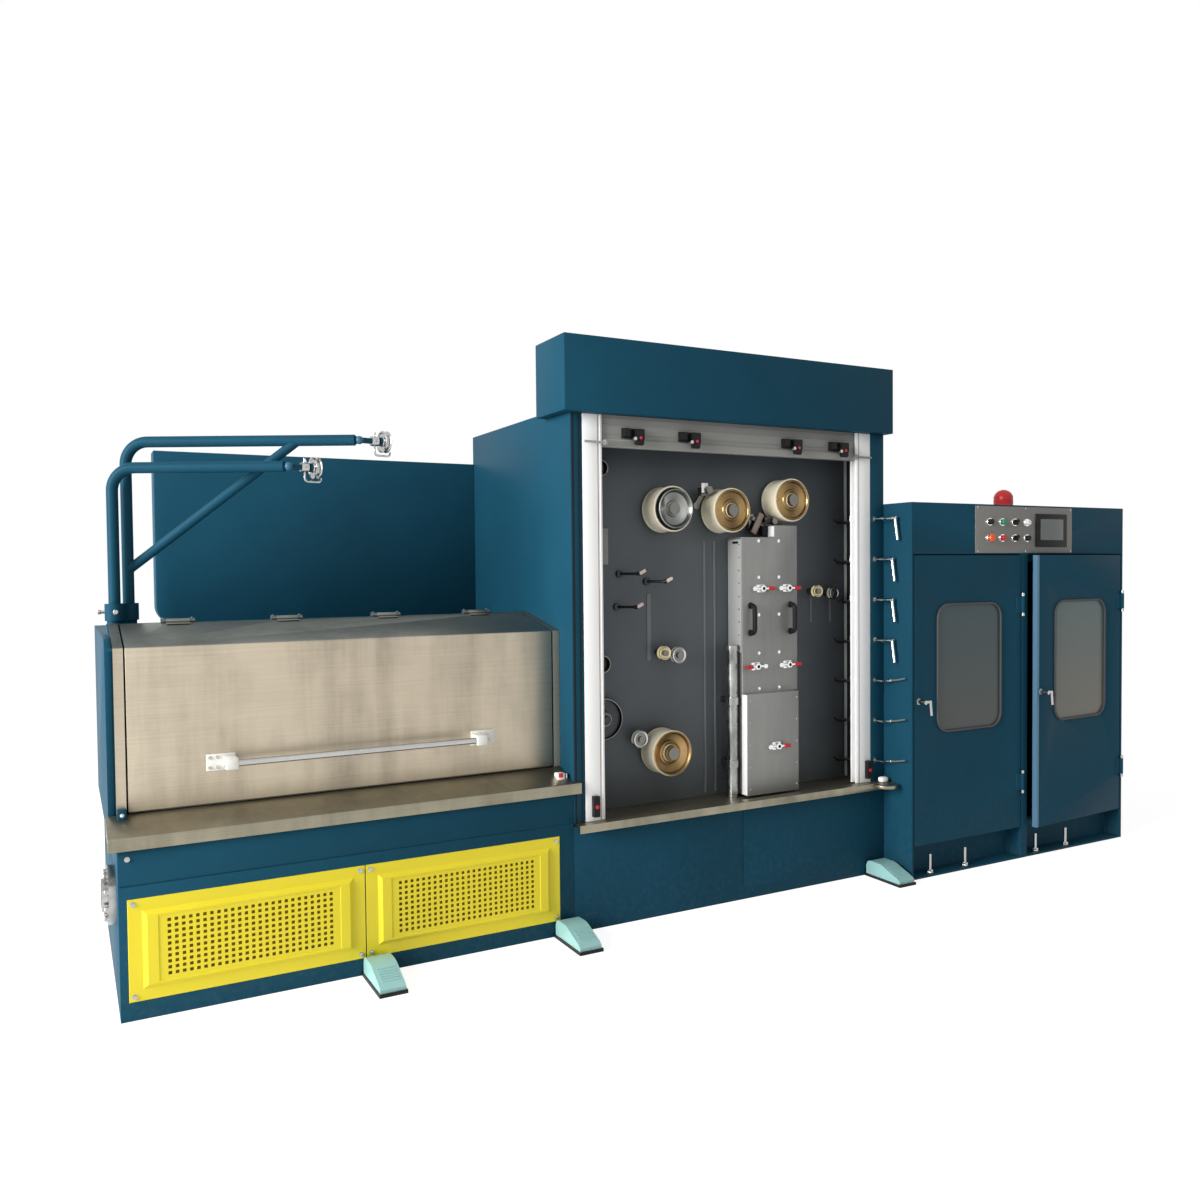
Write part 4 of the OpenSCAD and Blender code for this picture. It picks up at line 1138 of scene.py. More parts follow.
class WIREMACHINE_OT_jibs(bpy.types.Operator):
    """Build the wire guards and clamps at the ends of the jibs"""
    bl_idname = "wiremachine.jibs"
    bl_label = "Jib fittings"

    def execute(self, context):
        for name in ("lower_jib", "upper_jib"):
            place, axis = joint_place(name + "_pulley_spin")
            self.one(name, place, axis.normalized())
        return {"FINISHED"}

    def one(self, name, place, axis):
        wheel = (high(name + "_pulley").z - low(name + "_pulley").z) / 2
        side = Vector((-axis.y, axis.x, 0))
        up = Vector((0, 0, 1))
        fitting = Shape()
        clamp = place - axis * 42 * MM
        fitting.lathe([(0, -16 * MM), (17 * MM, -16 * MM), (19 * MM, -13 * MM), (19 * MM, 12 * MM),
                       (15 * MM, 16 * MM), (0, 16 * MM)], clamp, axis, 28)
        fitting.rod(clamp + up * 14 * MM, clamp + up * 34 * MM, 6 * MM, 14, 1 * MM)
        fitting.rod(clamp - side * 14 * MM, clamp - side * 30 * MM, 5 * MM, 14, 1 * MM)
        path = [clamp - up * 16 * MM, clamp - up * 34 * MM]
        reach = wheel + 12 * MM
        path += arc(place - up * (reach - 14 * MM) - axis * 28 * MM, 14 * MM, 180, 270, 6, axis, up)
        path += [place - up * reach + axis * 6 * MM]
        path += arc(place - up * (reach - 12 * MM) + axis * 12 * MM, 12 * MM, 270, 380, 8, axis, up)
        fitting.tube(path, 4 * MM, 10)
        fitting.done(name + "_wire_guard", bright_steel(), name)
        ball = place - axis * 106 * MM
        joint = Shape()
        joint.lathe([(16 * MM * math.sin(t), -16 * MM * math.cos(t))
                     for t in [math.pi * i / 16 for i in range(17)]], ball, axis, 28)
        joint.done(name + "_ball", paint("ball_blue", tuple(colours().ball), gloss=0.3), name)


class WIREMACHINE_OT_collars(bpy.types.Operator):
    """Set the clamping screws on the jib bracket"""
    bl_idname = "wiremachine.collars"
    bl_label = "Collar screws"

    def execute(self, context):
        top = high("jib_bracket").z - 30 * MM
        place = joint_place("lower_jib_swivel")[0]
        reach = 35 * MM
        screws = Shape()
        for direction in (Vector((-1, 0, 0)), Vector((0, -1, 0))):
            start = Vector((place.x, place.y, top)) + direction * (reach - 2 * MM)
            screws.rod(start, start + direction * 16 * MM, 6 * MM, 16, 1 * MM)
            screws.rod(start + direction * 14 * MM, start + direction * 26 * MM, 10 * MM, 6, 1.5 * MM)
        screws.done("collar_screws", bright_steel(), "machine")
        return {"FINISHED"}


class WIREMACHINE_OT_sheaves(bpy.types.Operator):
    """Turn the faces of the contact sheaves and guide pulleys"""
    bl_idname = "wiremachine.sheaves"
    bl_label = "Sheave faces"

    def execute(self, context):
        for i in range(4):
            self.one(i + 1)
        for i in range(5):
            self.pulley(i + 1)
        return {"FINISHED"}

    def pulley(self, number):
        """Bright turned ring on the face of a small guide pulley."""
        centre, radius = wheel_front(f"guide_pulley_{number}")
        shade = colours().pale_brass if number in (1, 3) else colours().bright
        face = turned(f"pulley_face_{number}", tuple(shade), centre, gloss=0.16)
        ring = Shape()
        ring.lathe([(0.94 * radius, 0.5 * MM), (0.93 * radius, -1.2 * MM), (0.86 * radius, -1.8 * MM),
                    (0.76 * radius, -0.8 * MM), (0.72 * radius, 0.5 * MM)], centre, (0, 1, 0), 48)
        ring.done(f"pulley_ring_{number}", face, f"guide_pulley_{number}")

    def one(self, number):
        centre, radius = wheel_front(f"contact_sheave_{number}")
        seat = radius - 13.5 * MM
        bore = 18.4 * MM
        body = f"sheave_{number}"
        if number == 1:
            face = turned(f"sheave_face_{number}", tuple(colours().sheave), centre, gloss=0.2)
            rim = 0.87 * radius
            profile = [(rim - 4 * MM, 20 * MM), (rim - 1 * MM, -17 * MM), (rim, -20 * MM),
                       (rim - 2 * MM, -22 * MM), (rim - 6 * MM, -21 * MM), (rim - 9 * MM, -16 * MM),
                       (rim - 16 * MM, -3 * MM), (rim - 26 * MM, 4 * MM), (bore + 26 * MM, 9 * MM),
                       (bore + 18 * MM, 9 * MM), (bore + 16 * MM, 3 * MM), (bore + 15 * MM, -1 * MM),
                       (bore, -1 * MM)]
        elif number == 4:
            face = turned(f"sheave_face_{number}", [1.2 * c for c in colours().brass], centre, gloss=0.38)
            rim = radius - 3 * MM
            profile = [(rim, 1 * MM), (rim, -2 * MM), (rim - 2 * MM, -3 * MM), (rim - 6 * MM, -2 * MM),
                       (rim - 9 * MM, 2 * MM), (rim - 13 * MM, 12 * MM), (0.62 * radius, 26 * MM),
                       (0.56 * radius, 27 * MM), (0.53 * radius, 20 * MM), (0.47 * radius, 18 * MM),
                       (0.44 * radius, 26 * MM), (bore + 17 * MM, 28 * MM), (bore + 15.5 * MM, -1 * MM),
                       (bore, -1 * MM)]
        else:
            face = turned(f"sheave_face_{number}", tuple(colours().brass), centre, gloss=0.22)
            rim = radius - 6 * MM
            profile = [(rim, 1 * MM), (rim, -2 * MM), (rim - 2 * MM, -3.5 * MM), (rim - 9 * MM, -3.5 * MM),
                       (rim - 12 * MM, 1 * MM), (rim - 14 * MM, 6 * MM), (bore + 34 * MM, 7 * MM),
                       (bore + 31 * MM, 3 * MM), (bore + 22 * MM, 3 * MM), (bore + 19 * MM, 6 * MM),
                       (bore + 14 * MM, 6 * MM), (bore + 12 * MM, -1 * MM), (bore, -1 * MM)]
        plate = Shape()
        plate.lathe(profile, centre, (0, 1, 0), 72)
        plate.done(f"sheave_face_{number}", face, body, smooth=25)
        if number == 1:
            # Black ring behind the first sheave's face: a painted shadow in the gap there.
            shadow_ring = Shape()
            shadow_ring.lathe([(seat - 1 * MM, 21 * MM), (seat - 1 * MM, -0.6 * MM), (seat + 7 * MM, -0.6 * MM),
                       (seat + 7 * MM, 0.4 * MM)], centre, (0, 1, 0), 72)
            shadow_ring.done("sheave_shadow_ring_1", black_plastic(), body)
        if number in (2, 3):
            holes = 6
            dish = centre + Vector((0, 8 * MM, 0))
            spots = arc(dish, radius * 0.72, 0, 360 - 360 / holes, holes - 1)
            fasteners(f"sheave_screws_{number}", spots, (0, -1, 0), 5 * MM, 3 * MM, brass(), body,
                      12)


class WIREMACHINE_OT_chamber(bpy.types.Operator):
    """Fit the bolts, the lighter side strips that are painted light, clamps and handles of the annealing chamber
    """
    bl_idname = "wiremachine.chamber"
    bl_label = "Annealing chamber"

    def execute(self, context):
        a = low("annealing_chamber")
        b = high("annealing_chamber")
        handles_low = low("chamber_handles")
        handles_high = high("chamber_handles")
        upper_y = handles_high.y
        wide = b.x - a.x
        bolts = [(a.x + f * wide, upper_y, handles_low.z + d) for f in (0.30, 0.66)
                 for d in (-0.250, -0.084, 0.094, 0.268, 0.437)]
        fasteners("chamber_bolts", bolts, (0, -1, 0), sizes().bolt, 6 * MM, polished_steel(), "machine",
                  16)
        split = a.z + CHAMBER_SPLIT * (high("guide_rails").z - low("guide_rails").z)
        lower_w = 0.92 * wide
        rim = 14 * MM
        spots = [(a.x + x, a.y, a.z + z) for x in (rim, lower_w - rim)
                 for z in [30 * MM + i * (split - a.z - 60 * MM) / 4 for i in range(5)]]
        steel_screws("lower_cover_screws", spots, (0, -1, 0), 4 * MM, 3 * MM, 12)
        self.strip(a, b, split, upper_y)
        self.handles()
        self.clamps(a, b, split, upper_y)
        return {"FINISHED"}

    def strip(self, a, b, split, upper_y):
        """Folded strips up the left side of the chamber, painted lighter as painted light on that lit side, with a
        row of small screws.
        """
        strip = Shape()
        strip.box((a.x - 3 * MM, upper_y + 4 * MM, split + 190 * MM),
                  (a.x + 0.5 * MM, b.y - 6 * MM, b.z - 66 * MM), 1 * MM)
        # White strip on the lower cover's left side: painted light on that lit face.
        strip.material = 2
        strip.box((a.x - 3 * MM, a.y + 3 * MM, a.z + 4 * MM),
                  (a.x + 0.5 * MM, a.y + 40 * MM, split - 4 * MM), 1 * MM)
        strip.material = 1
        for z in (split + 196 * MM, b.z - 86 * MM):
            strip.box((a.x - 4 * MM, upper_y + 22 * MM, z), (a.x - 2 * MM, upper_y + 66 * MM, z + 11 * MM),
                      1 * MM)
        strip.done("chamber_painted_light_strips", [painted_light_sheet(), black_plastic(), white_paint()], "machine")
        count = 9
        run = b.z - 90 * MM - split - 210 * MM
        points = [(a.x - 3 * MM, upper_y + 16 * MM,
                   split + 210 * MM + i * run / (count - 1)) for i in range(count)]
        steel_screws("chamber_strip_screws", points, (-1, 0, 0), 4 * MM, 3 * MM, 12)

    def handles(self):
        a = low("chamber_handles")
        b = high("chamber_handles")
        bend = 18 * MM
        grip = Shape()
        for x in (a.x + 11 * MM, b.x - 11 * MM):
            y = a.y + 11 * MM
            z0 = a.z + 12 * MM
            z1 = b.z - 12 * MM
            path = [(x, b.y, z0)]
            path += arc((x, y + bend, z0 + bend), bend, 270, 180, 6, (0, 1, 0), (0, 0, 1))
            path += arc((x, y + bend, z1 - bend), bend, 180, 90, 6, (0, 1, 0), (0, 0, 1))
            path += [(x, b.y, z1)]
            grip.tube(path, 11 * MM, 16)
            for z in (z0, z1):
                grip.rod((x, b.y - 6 * MM, z), (x, b.y, z), 15 * MM, 20, 2 * MM)
        grip.done("chamber_grips", black_plastic(), "machine", ("chamber_handles",))

    def clamps(self, a, b, split, upper_y):
        """Toggle clamps: a base plate, two silver nuts, a lever and a red grip."""
        wide = b.x - a.x
        top = a.z + CHAMBER_TOP * (high("guide_rails").z - low("guide_rails").z)
        rows = [(0.33, upper_y, split + 0.67 * (top - split), 1),
                (0.80, upper_y, split + 0.67 * (top - split), 1),
                (0.23, upper_y, split + 0.17 * (top - split), -1),
                (0.80, upper_y, split + 0.17 * (top - split), 1),
                (0.50, a.y, a.z + 0.47 * (split - a.z), 1)]
        clamp = Shape()
        for fraction, y, z, way in rows:
            x = a.x + fraction * wide
            clamp.material = 0
            clamp.box((x - 24 * MM, y - 6 * MM, z - 18 * MM), (x + 24 * MM, y, z + 18 * MM), 2 * MM)
            clamp.rod((x, y - 28 * MM, z), (x, y - 5 * MM, z), 16 * MM, 22, 2 * MM)
            clamp.rod((x - way * 46 * MM, y - 14 * MM, z), (x - way * 8 * MM, y - 14 * MM, z), 7 * MM, 16,
                      1 * MM)
            clamp.rod((x - way * 46 * MM, y - 24 * MM, z), (x - way * 46 * MM, y, z), 13 * MM, 6, 2 * MM)
            clamp.rod((x + way * 6 * MM, y - 20 * MM, z), (x + way * 30 * MM, y - 22 * MM, z), 6 * MM, 14)
            clamp.material = 1
            clamp.rod((x + way * 28 * MM, y - 22 * MM, z), (x + way * 66 * MM, y - 24 * MM, z), 9 * MM, 18,
                      3 * MM)
            clamp.material = 2
            clamp.rod((x, y - 29 * MM, z), (x, y - 24 * MM, z), 8 * MM, 18, 1 * MM)
        clamp.done("clamp_sets", [polished_steel(), red_plastic(), black_plastic()], "machine",
                   ("toggle_clamps",))


class WIREMACHINE_OT_shutter(bpy.types.Operator):
    """Fit the ribs and latches of the raised shutter and the painted shadow lines along its rails"""
    bl_idname = "wiremachine.shutter"
    bl_label = "Shutter fittings"

    def execute(self, context):
        bar_low = low("shutter_bar")
        rails_low = low("guide_rails")
        rails_high = high("guide_rails")
        latches_low = low("shutter_latches")
        rail_w = 93 * MM
        x0 = rails_low.x + rail_w
        x1 = rails_high.x - rail_w
        ribs = Shape()
        for z, tall in ((52, 3), (92, 3), (118, 3)):
            ribs.box((x0 - 4 * MM, rails_low.y + 9 * MM, bar_low.z + z * MM),
                     (x1 + 4 * MM, rails_low.y + 13 * MM, bar_low.z + (z + tall) * MM), 1 * MM)
        ribs.done("shutter_ribs", grey_paint(), "machine")
        dots = Shape()
        run = x1 - x0
        for share in LATCH_SHARES:
            x = x0 + share * run + 22 * MM
            z = bar_low.z + 40 * MM
            dots.rod((x, latches_low.y - 2 * MM, z), (x, latches_low.y + 1 * MM, z), 7 * MM, 18, 1 * MM)
        for x in (rails_low.x + 0.47 * rail_w, rails_high.x - 0.24 * rail_w):
            y = rails_low.y - 22 * MM
            z = rails_low.z + 62 * MM
            dots.rod((x, y - 4 * MM, z), (x, y + 1 * MM, z), 9 * MM, 18, 1.5 * MM)
        dots.done("latch_buttons", red_plastic(), "machine")
        pins = Shape()
        for share in LATCH_SHARES:
            x = x0 + share * run - 4 * MM
            z = bar_low.z + 36 * MM
            pins.rod((x, latches_low.y - 1 * MM, z), (x, latches_low.y + 16 * MM, z), 8 * MM, 18, 1 * MM)
        pins.done("latch_pins", bright_steel(), "machine")
        lips = Shape()
        for x, way in ((x0, -1), (x1, 1)):
            lips.box((x - 1.5 * MM + way * 9 * MM, rails_low.y - 1.5 * MM, rails_low.z + 2 * MM),
                     (x + 1.5 * MM + way * 9 * MM, rails_low.y + 1 * MM, rails_high.z - 2 * MM), 0.8 * MM)
        lips.done("rail_beads", white_paint(), "machine")
        # Dark lines beside the white beads: painted shadow lines along the rails.
        lines = Shape()
        for x, way in ((x0, -1), (x1, 1)):
            lines.box((x - 1.5 * MM + way * 20 * MM, rails_low.y - 0.4 * MM, rails_low.z + 2 * MM),
                      (x + 1.5 * MM + way * 20 * MM, rails_low.y + 1 * MM, rails_high.z - 2 * MM))
        lines.done("rail_shadow_lines", rail_shadow_line(), "machine")
        seams = Shape()
        post = low("annealer_base").x
        for x, w in ((7, 9), (36, 6)):
            seams.box((post + x * MM, rails_low.y - 0.5 * MM, rails_low.z),
                      (post + (x + w) * MM, rails_low.y + 0.5 * MM, rails_high.z))
        seams.done("post_seams", black_plastic(), "machine")
        cap = Shape()
        sill = high("sill_tray")
        cap.box((sill.x - 64 * MM, rails_low.y - 58 * MM, sill.z),
                (sill.x - 22 * MM, rails_low.y - 24 * MM, sill.z + 26 * MM), 9 * MM)
        cap.done("sill_cap", white_paint(), "machine")
        return {"FINISHED"}


class WIREMACHINE_OT_plate(bpy.types.Operator):
    """Add the strips, rims, guide tips and brushes of the mounting plate, and painted shade on the walls beside it
    """
    bl_idname = "wiremachine.plate"
    bl_label = "Mounting plate fittings"

    def execute(self, context):
        a = low("mounting_plate")
        b = high("mounting_plate")
        y = a.y
        wide = b.x - a.x
        tall = b.z - a.z
        strips = Shape()
        for fx, fz0, fz1, w in ((0.460, 0.01, 0.713, 10), (0.496, 0.01, 0.713, 10), (0.265, 0.39, 0.57, 20),
                                (0.862, 0.475, 0.555, 8), (0.94, 0.475, 0.555, 8)):
            x = a.x + fx * wide
            strips.box((x, y - 4 * MM, a.z + fz0 * tall), (x + w * MM, y + 1 * MM, a.z + fz1 * tall), 1 * MM)
        strips.done("plate_strips", strip_paint(), "machine")
        tag = Shape()
        tag.box((a.x + 0.11 * wide, y - 5 * MM, a.z + 0.65 * tall),
                (a.x + 0.14 * wide, y + 1 * MM, a.z + 0.745 * tall), 2 * MM)
        tag.done("plate_terminal", grey_paint(), "machine")
        self.rings()
        self.tips()
        self.brushes()
        self.wall_shade(a, b)
        return {"FINISHED"}

    def brushes(self):
        """White insulators and the contact arm beside the upper sheaves."""
        start, run, sill, tall = annealer_field()
        y = low("mounting_plate").y
        x = start + 0.436 * run
        z = sill + 0.822 * tall
        blocks = Shape()
        blocks.box((x - 19 * MM, y - 70 * MM, z + 2 * MM), (x + 15 * MM, y - 63 * MM, z + 46 * MM), 3 * MM)
        step = start + 0.6466 * run
        chamber_z = high("annealing_chamber").z
        front = high("chamber_handles").y
        blocks.box((step - 6 * MM, front + 4 * MM, chamber_z - 53 * MM),
                   (step + 1 * MM, front + 44 * MM, chamber_z - 3 * MM), 2 * MM)
        blocks.done("brush_insulators", white_paint(), "machine")
        arm = Shape()
        middle_point = Vector((start + 0.616 * run, y - 47 * MM, chamber_z + 11 * MM))
        half = Vector((15, 5, 53)) * MM
        arm.box(middle_point - half, middle_point + half, 3 * MM, Matrix.Rotation(math.radians(28), 4, "Y"))
        arm.material = 1
        arm.box((step - 35 * MM, y - 66 * MM, chamber_z - 50 * MM),
                (step - 1 * MM, y - 40 * MM, chamber_z - 1 * MM), 3 * MM)
        beige = plain_plastic("arm_beige", tuple(colours().arm), 0.35)
        arm.done("brush_arm", [beige, black_plastic()], "machine")

    def wall_shade(self, a, b):
        """Black sheet on the side walls behind the guide rails as painted shade, with a grey edge beside the
        plate.
        """
        rails = high("guide_rails")
        foot = low("guide_rails").z
        shade_sheet = Shape()
        for x, way in ((a.x, 1), (b.x, -1)):
            # Black sheet: painted shade in the gap between the plate and the rails.
            shade_sheet.material = 0
            shade_sheet.box((x, rails.y, foot), (x + way * 1.5 * MM, a.y - 26 * MM, rails.z))
            shade_sheet.material = 1
            shade_sheet.box((x, a.y - 26 * MM, foot), (x + way * 3 * MM, a.y - 6 * MM, rails.z), 1 * MM)
        shade_sheet.done("wall_painted_shade", [black_plastic(), grey_paint()], "machine")

    def rings(self):
        """Steel rims on the two openings and the disc at the left of the plate."""
        y = low("mounting_plate").y
        start, run, sill, tall = annealer_field()
        rims = Shape()
        for fx, fz, radius, out in ((0.1335, 0.3755, 37, 30), (0.1335, 0.88, 33, 30),
                                    (0.1376, 0.2325, 89, 26), (0.1376, 0.2325, 26, 40)):
            centre = Vector((start + fx * run, y - (out + 1) * MM, sill + fz * tall))
            rims.tube(arc(centre, radius * MM, 0, 352.5, 47), 3 * MM, 8, True)
        rims.done("plate_rims", stud_steel(), "machine")

    def tips(self):
        """Pale ceramic tips at the ends of the three wire guides."""
        y = low("mounting_plate").y
        start, run, sill, tall = annealer_field()
        lean = math.radians(36)
        out = Vector((math.sin(lean), -math.cos(lean), 0))
        tips = Shape()
        for fx, fz in ((0.192, 0.608), (0.273, 0.587), (0.184, 0.522)):
            end = Vector((start + fx * run, y - 8 * MM, sill + fz * tall)) + out * 96 * MM
            tips.rod(end, end + Vector((26, -8, 15)) * MM, 8 * MM, 18, 2.5 * MM)
        tips.done("guide_tips", plain_plastic("pale_ceramic", tuple(colours().tip), 0.25), "machine")


class WIREMACHINE_OT_hooks(bpy.types.Operator):
    """Fit the ferrules and hanging rods of the wire hooks, and the hooks inside"""
    bl_idname = "wiremachine.hooks"
    bl_label = "Wire hooks"

    def execute(self, context):
        a = low("wire_hooks")
        b = high("wire_hooks")
        rod = sizes().hook_rod
        count = 7
        x = b.x - 44 * MM
        y = a.y + 6 * MM
        z0 = a.z + 14 * MM
        z1 = b.z - 18 * MM
        ends = Shape()
        for i in range(count):
            z = z0 + i * (z1 - z0) / (count - 1)
            root = Vector((x + 40 * MM, y + (0 if i in (0, 1, 2, count - 1) else 20 * MM), z))
            ends.material = 0
            if i >= 3:
                ends.rod(root + Vector((0, 10, 0)) * MM, root + Vector((0, -58, 0)) * MM, rod + 3.5 * MM,
                         18, 2 * MM)
                ends.rod(root + Vector((0, -46, 4)) * MM, root + Vector((-1, -64, -106)) * MM,
                         rod + 2.5 * MM, 18, 3 * MM)
            else:
                ends.rod(root + Vector((0, 8, -4)) * MM, root + Vector((0, -22, 4)) * MM, rod + 2.5 * MM,
                         18, 2 * MM)
                ends.material = 1
                ends.tube([root + Vector((0, -20, 3)) * MM, root + Vector((0, -45, 6)) * MM,
                           root + Vector((0, -70, 11)) * MM, root + Vector((0, -108, 20)) * MM],
                          rod * 0.8, 10)
        ends.done("hook_ends", [polished_steel(), chamber_steel()], "machine")
        wall = high("mounting_plate").x
        deep = low("mounting_plate").y - 40 * MM
        pulley = middle("guide_pulley_2").z
        inner = Shape()
        for i in range(count):
            z = z0 + i * (z1 - z0) / (count - 1) - 16 * MM
            reach = 94 * MM if abs(z - pulley) > 80 * MM else 50 * MM
            inner.tube([(wall - 1 * MM, deep, z + 4 * MM), (wall - 0.5 * reach, deep, z),
                        (wall - 0.8 * reach, deep, z + 3 * MM), (wall - 0.94 * reach, deep, z + 10 * MM),
                        (wall - reach, deep, z + 20 * MM)], 6 * MM, 12)
        inner.done("inner_hooks", black_plastic(), "machine")
        return {"FINISHED"}


class WIREMACHINE_OT_windows(bpy.types.Operator):
    """Lay the rubber round the door windows and the lighter trim on the right door, a painted highlight on its lit
    edge
    """
    bl_idname = "wiremachine.windows"
    bl_label = "Window rubbers"

    def execute(self, context):
        s = sizes()
        margin = 22 * MM
        for side in ("left", "right"):
            a = low(side + "_window")
            b = high(side + "_window")
            across = Vector((b.x - a.x, 0, 0))
            if side == "right":
                across = Vector((b.x - a.x, b.y - a.y - 6 * MM, 0))
            u = across.normalized()
            out = Vector((u.y, -u.x, 0))
            centre = (a + b) / 2 + out * 9 * MM
            width = across.length - 2 * margin
            height = b.z - a.z - 2 * margin
            if side == "right":
                self.edge(u, out)
            rubber = Shape()
            rubber.tube(rounded_loop(centre, width + 4 * MM, height + 4 * MM, s.window_corner, u), s.gasket,
                        12, True)
            rubber.done(side + "_window_rubber", grey_rubber(), side + "_door")
        return {"FINISHED"}

    def edge(self, u, out):
        """Folded trim on the free edge of the right door, which stands ajar, in a lighter blue as a painted
        highlight on that lit edge.
        """
        a = low("right_door")
        b = high("right_door")
        wrap = 17 * MM
        thick = 26 * MM
        deep = thick - 1 * MM
        corner = Vector((a.x + thick * out.x, a.y, 0))
        trim = Shape()
        front = corner + out * 0.6 * MM - u * 0.6 * MM
        outline = [front, front + u * wrap, front + u * wrap - out * 1.2 * MM,
                   front + u * 0.4 * MM - out * 1.2 * MM, front + u * 0.4 * MM - out * deep,
                   front - out * deep]
        trim.prism(outline, (0, 0, 1), a.z + 1 * MM, b.z - 1 * MM)
        trim.done("right_door_edge_highlight", edge_highlight_paint(), "right_door")


class WIREMACHINE_OT_panel(bpy.types.Operator):
    """Build the buttons, selectors, screen and screws of the control panel"""
    bl_idname = "wiremachine.panel"
    bl_label = "Control panel"

    def execute(self, context):
        a = low("control_panel")
        b = high("control_panel")
        face = a.y
        wide = b.x - a.x
        tall = b.z - a.z
        white = plain_plastic("lamp_white", tuple(colours().lamp), 0.2)
        green = plain_plastic("button_green", tuple(colours().green), 0.25)
        orange = plain_plastic("stop_orange", tuple(colours().orange), 0.3)
        finishes = [polished_steel(), black_plastic(), red_plastic(), white, green, orange]
        kinds = [["stop", "red", "selector", "black"], ["black", "green", "selector", "white"]]
        caps = {"red": 2, "black": 1, "green": 4, "white": 3}
        buttons = Shape()
        for k, row in enumerate(kinds):
            z = a.z + (0.32 + 0.34 * k) * tall
            for i, kind in enumerate(row):
                x = a.x + (0.126 + 0.125 * i) * wide
                buttons.material = 0
                buttons.lathe([(0, 0), (22 * MM, 0), (22 * MM, 5 * MM), (19 * MM, 12 * MM),
                               (15 * MM, 12 * MM), (15 * MM, 8 * MM), (0, 8 * MM)],
                              (x, face, z), (0, -1, 0), 28)
                if kind == "stop":
                    buttons.material = 5
                    buttons.lathe([(0, 7 * MM), (13 * MM, 7 * MM), (13 * MM, 19 * MM), (20 * MM, 21 * MM),
                                   (21 * MM, 26 * MM), (18 * MM, 32 * MM), (9 * MM, 34 * MM), (0, 34 * MM)],
                                  (x, face, z), (0, -1, 0), 28)
                elif kind == "selector":
                    buttons.material = 1
                    buttons.lathe([(0, 7 * MM), (14 * MM, 7 * MM), (14 * MM, 17 * MM), (12 * MM, 19 * MM),
                                   (0, 19 * MM)], (x, face, z), (0, -1, 0), 28)
                    buttons.box((x - 6 * MM, face - 33 * MM, z - 15 * MM),
                                (x + 6 * MM, face - 18 * MM, z + 15 * MM), 2 * MM,
                                Matrix.Rotation(math.radians(35), 4, "Y"))
                else:
                    buttons.material = caps[kind]
                    buttons.lathe([(0, 7 * MM), (14 * MM, 7 * MM), (14 * MM, 24 * MM), (12 * MM, 27 * MM),
                                   (0, 28 * MM)], (x, face, z), (0, -1, 0), 28)
        buttons.done("panel_buttons", finishes, "machine", ("push_buttons",))
        inset = 9 * MM
        spots = [(a.x + f * wide, face, z) for f in (0.02, 0.5, 0.98) for z in (a.z + inset, b.z - inset)]
        steel_screws("panel_screws", spots, (0, -1, 0), 5 * MM, 3 * MM, 14)
        screen_low = low("operator_screen")
        screen_high = high("operator_screen")
        rim = 30 * MM
        glass = Shape()
        glass.box((screen_low.x + rim, screen_low.y - 1 * MM, screen_low.z + rim + 6 * MM),
                  (screen_high.x - rim, screen_low.y + 2 * MM, screen_high.z - rim + 4 * MM), 0.8 * MM)
        glass.done("screen_glass", plain_plastic("screen_grey", tuple(colours().screen), 0.22), "machine")
        return {"FINISHED"}


class WIREMACHINE_OT_beacon(bpy.types.Operator):
    """Turn the beacon's lens and foot"""
    bl_idname = "wiremachine.beacon"
    bl_label = "Beacon"

    def execute(self, context):
        a = low("beacon")
        b = high("beacon")
        centre = Vector(((a.x + b.x) / 2, (a.y + b.y) / 2, a.z))
        foot_r = (b.x - a.x) / 2
        lens_r = foot_r - 5 * MM
        tall = b.z - a.z
        lamp = Shape()
        lamp.lathe([(0, 0), (foot_r, 0), (foot_r, 14 * MM), (foot_r - 3 * MM, 19 * MM),
                    (lens_r - 4 * MM, 20 * MM), (0, 20 * MM)], centre, (0, 0, 1), 40)
        lamp.material = 1
        rib = 2 * MM
        profile = [(0, 19 * MM), (lens_r - rib, 19 * MM)]
        side = tall - lens_r - 20 * MM
        ribs = 5
        for i in range(ribs):
            z = 20 * MM + side * i / ribs
            profile += [(lens_r, z + 1 * MM), (lens_r - rib, z + side / ribs - 0.5 * MM)]
        profile += [(lens_r * math.cos(t), tall - lens_r + lens_r * math.sin(t))
                    for t in [math.radians(10 + 80 * i / 9) for i in range(10)]]
        profile[-1] = (0, tall - 0.2 * MM)
        lamp.lathe(profile, centre, (0, 0, 1), 40)
        lamp.done("beacon_lamp", [white_paint(), red_plastic()], "machine", ("beacon",))
        return {"FINISHED"}


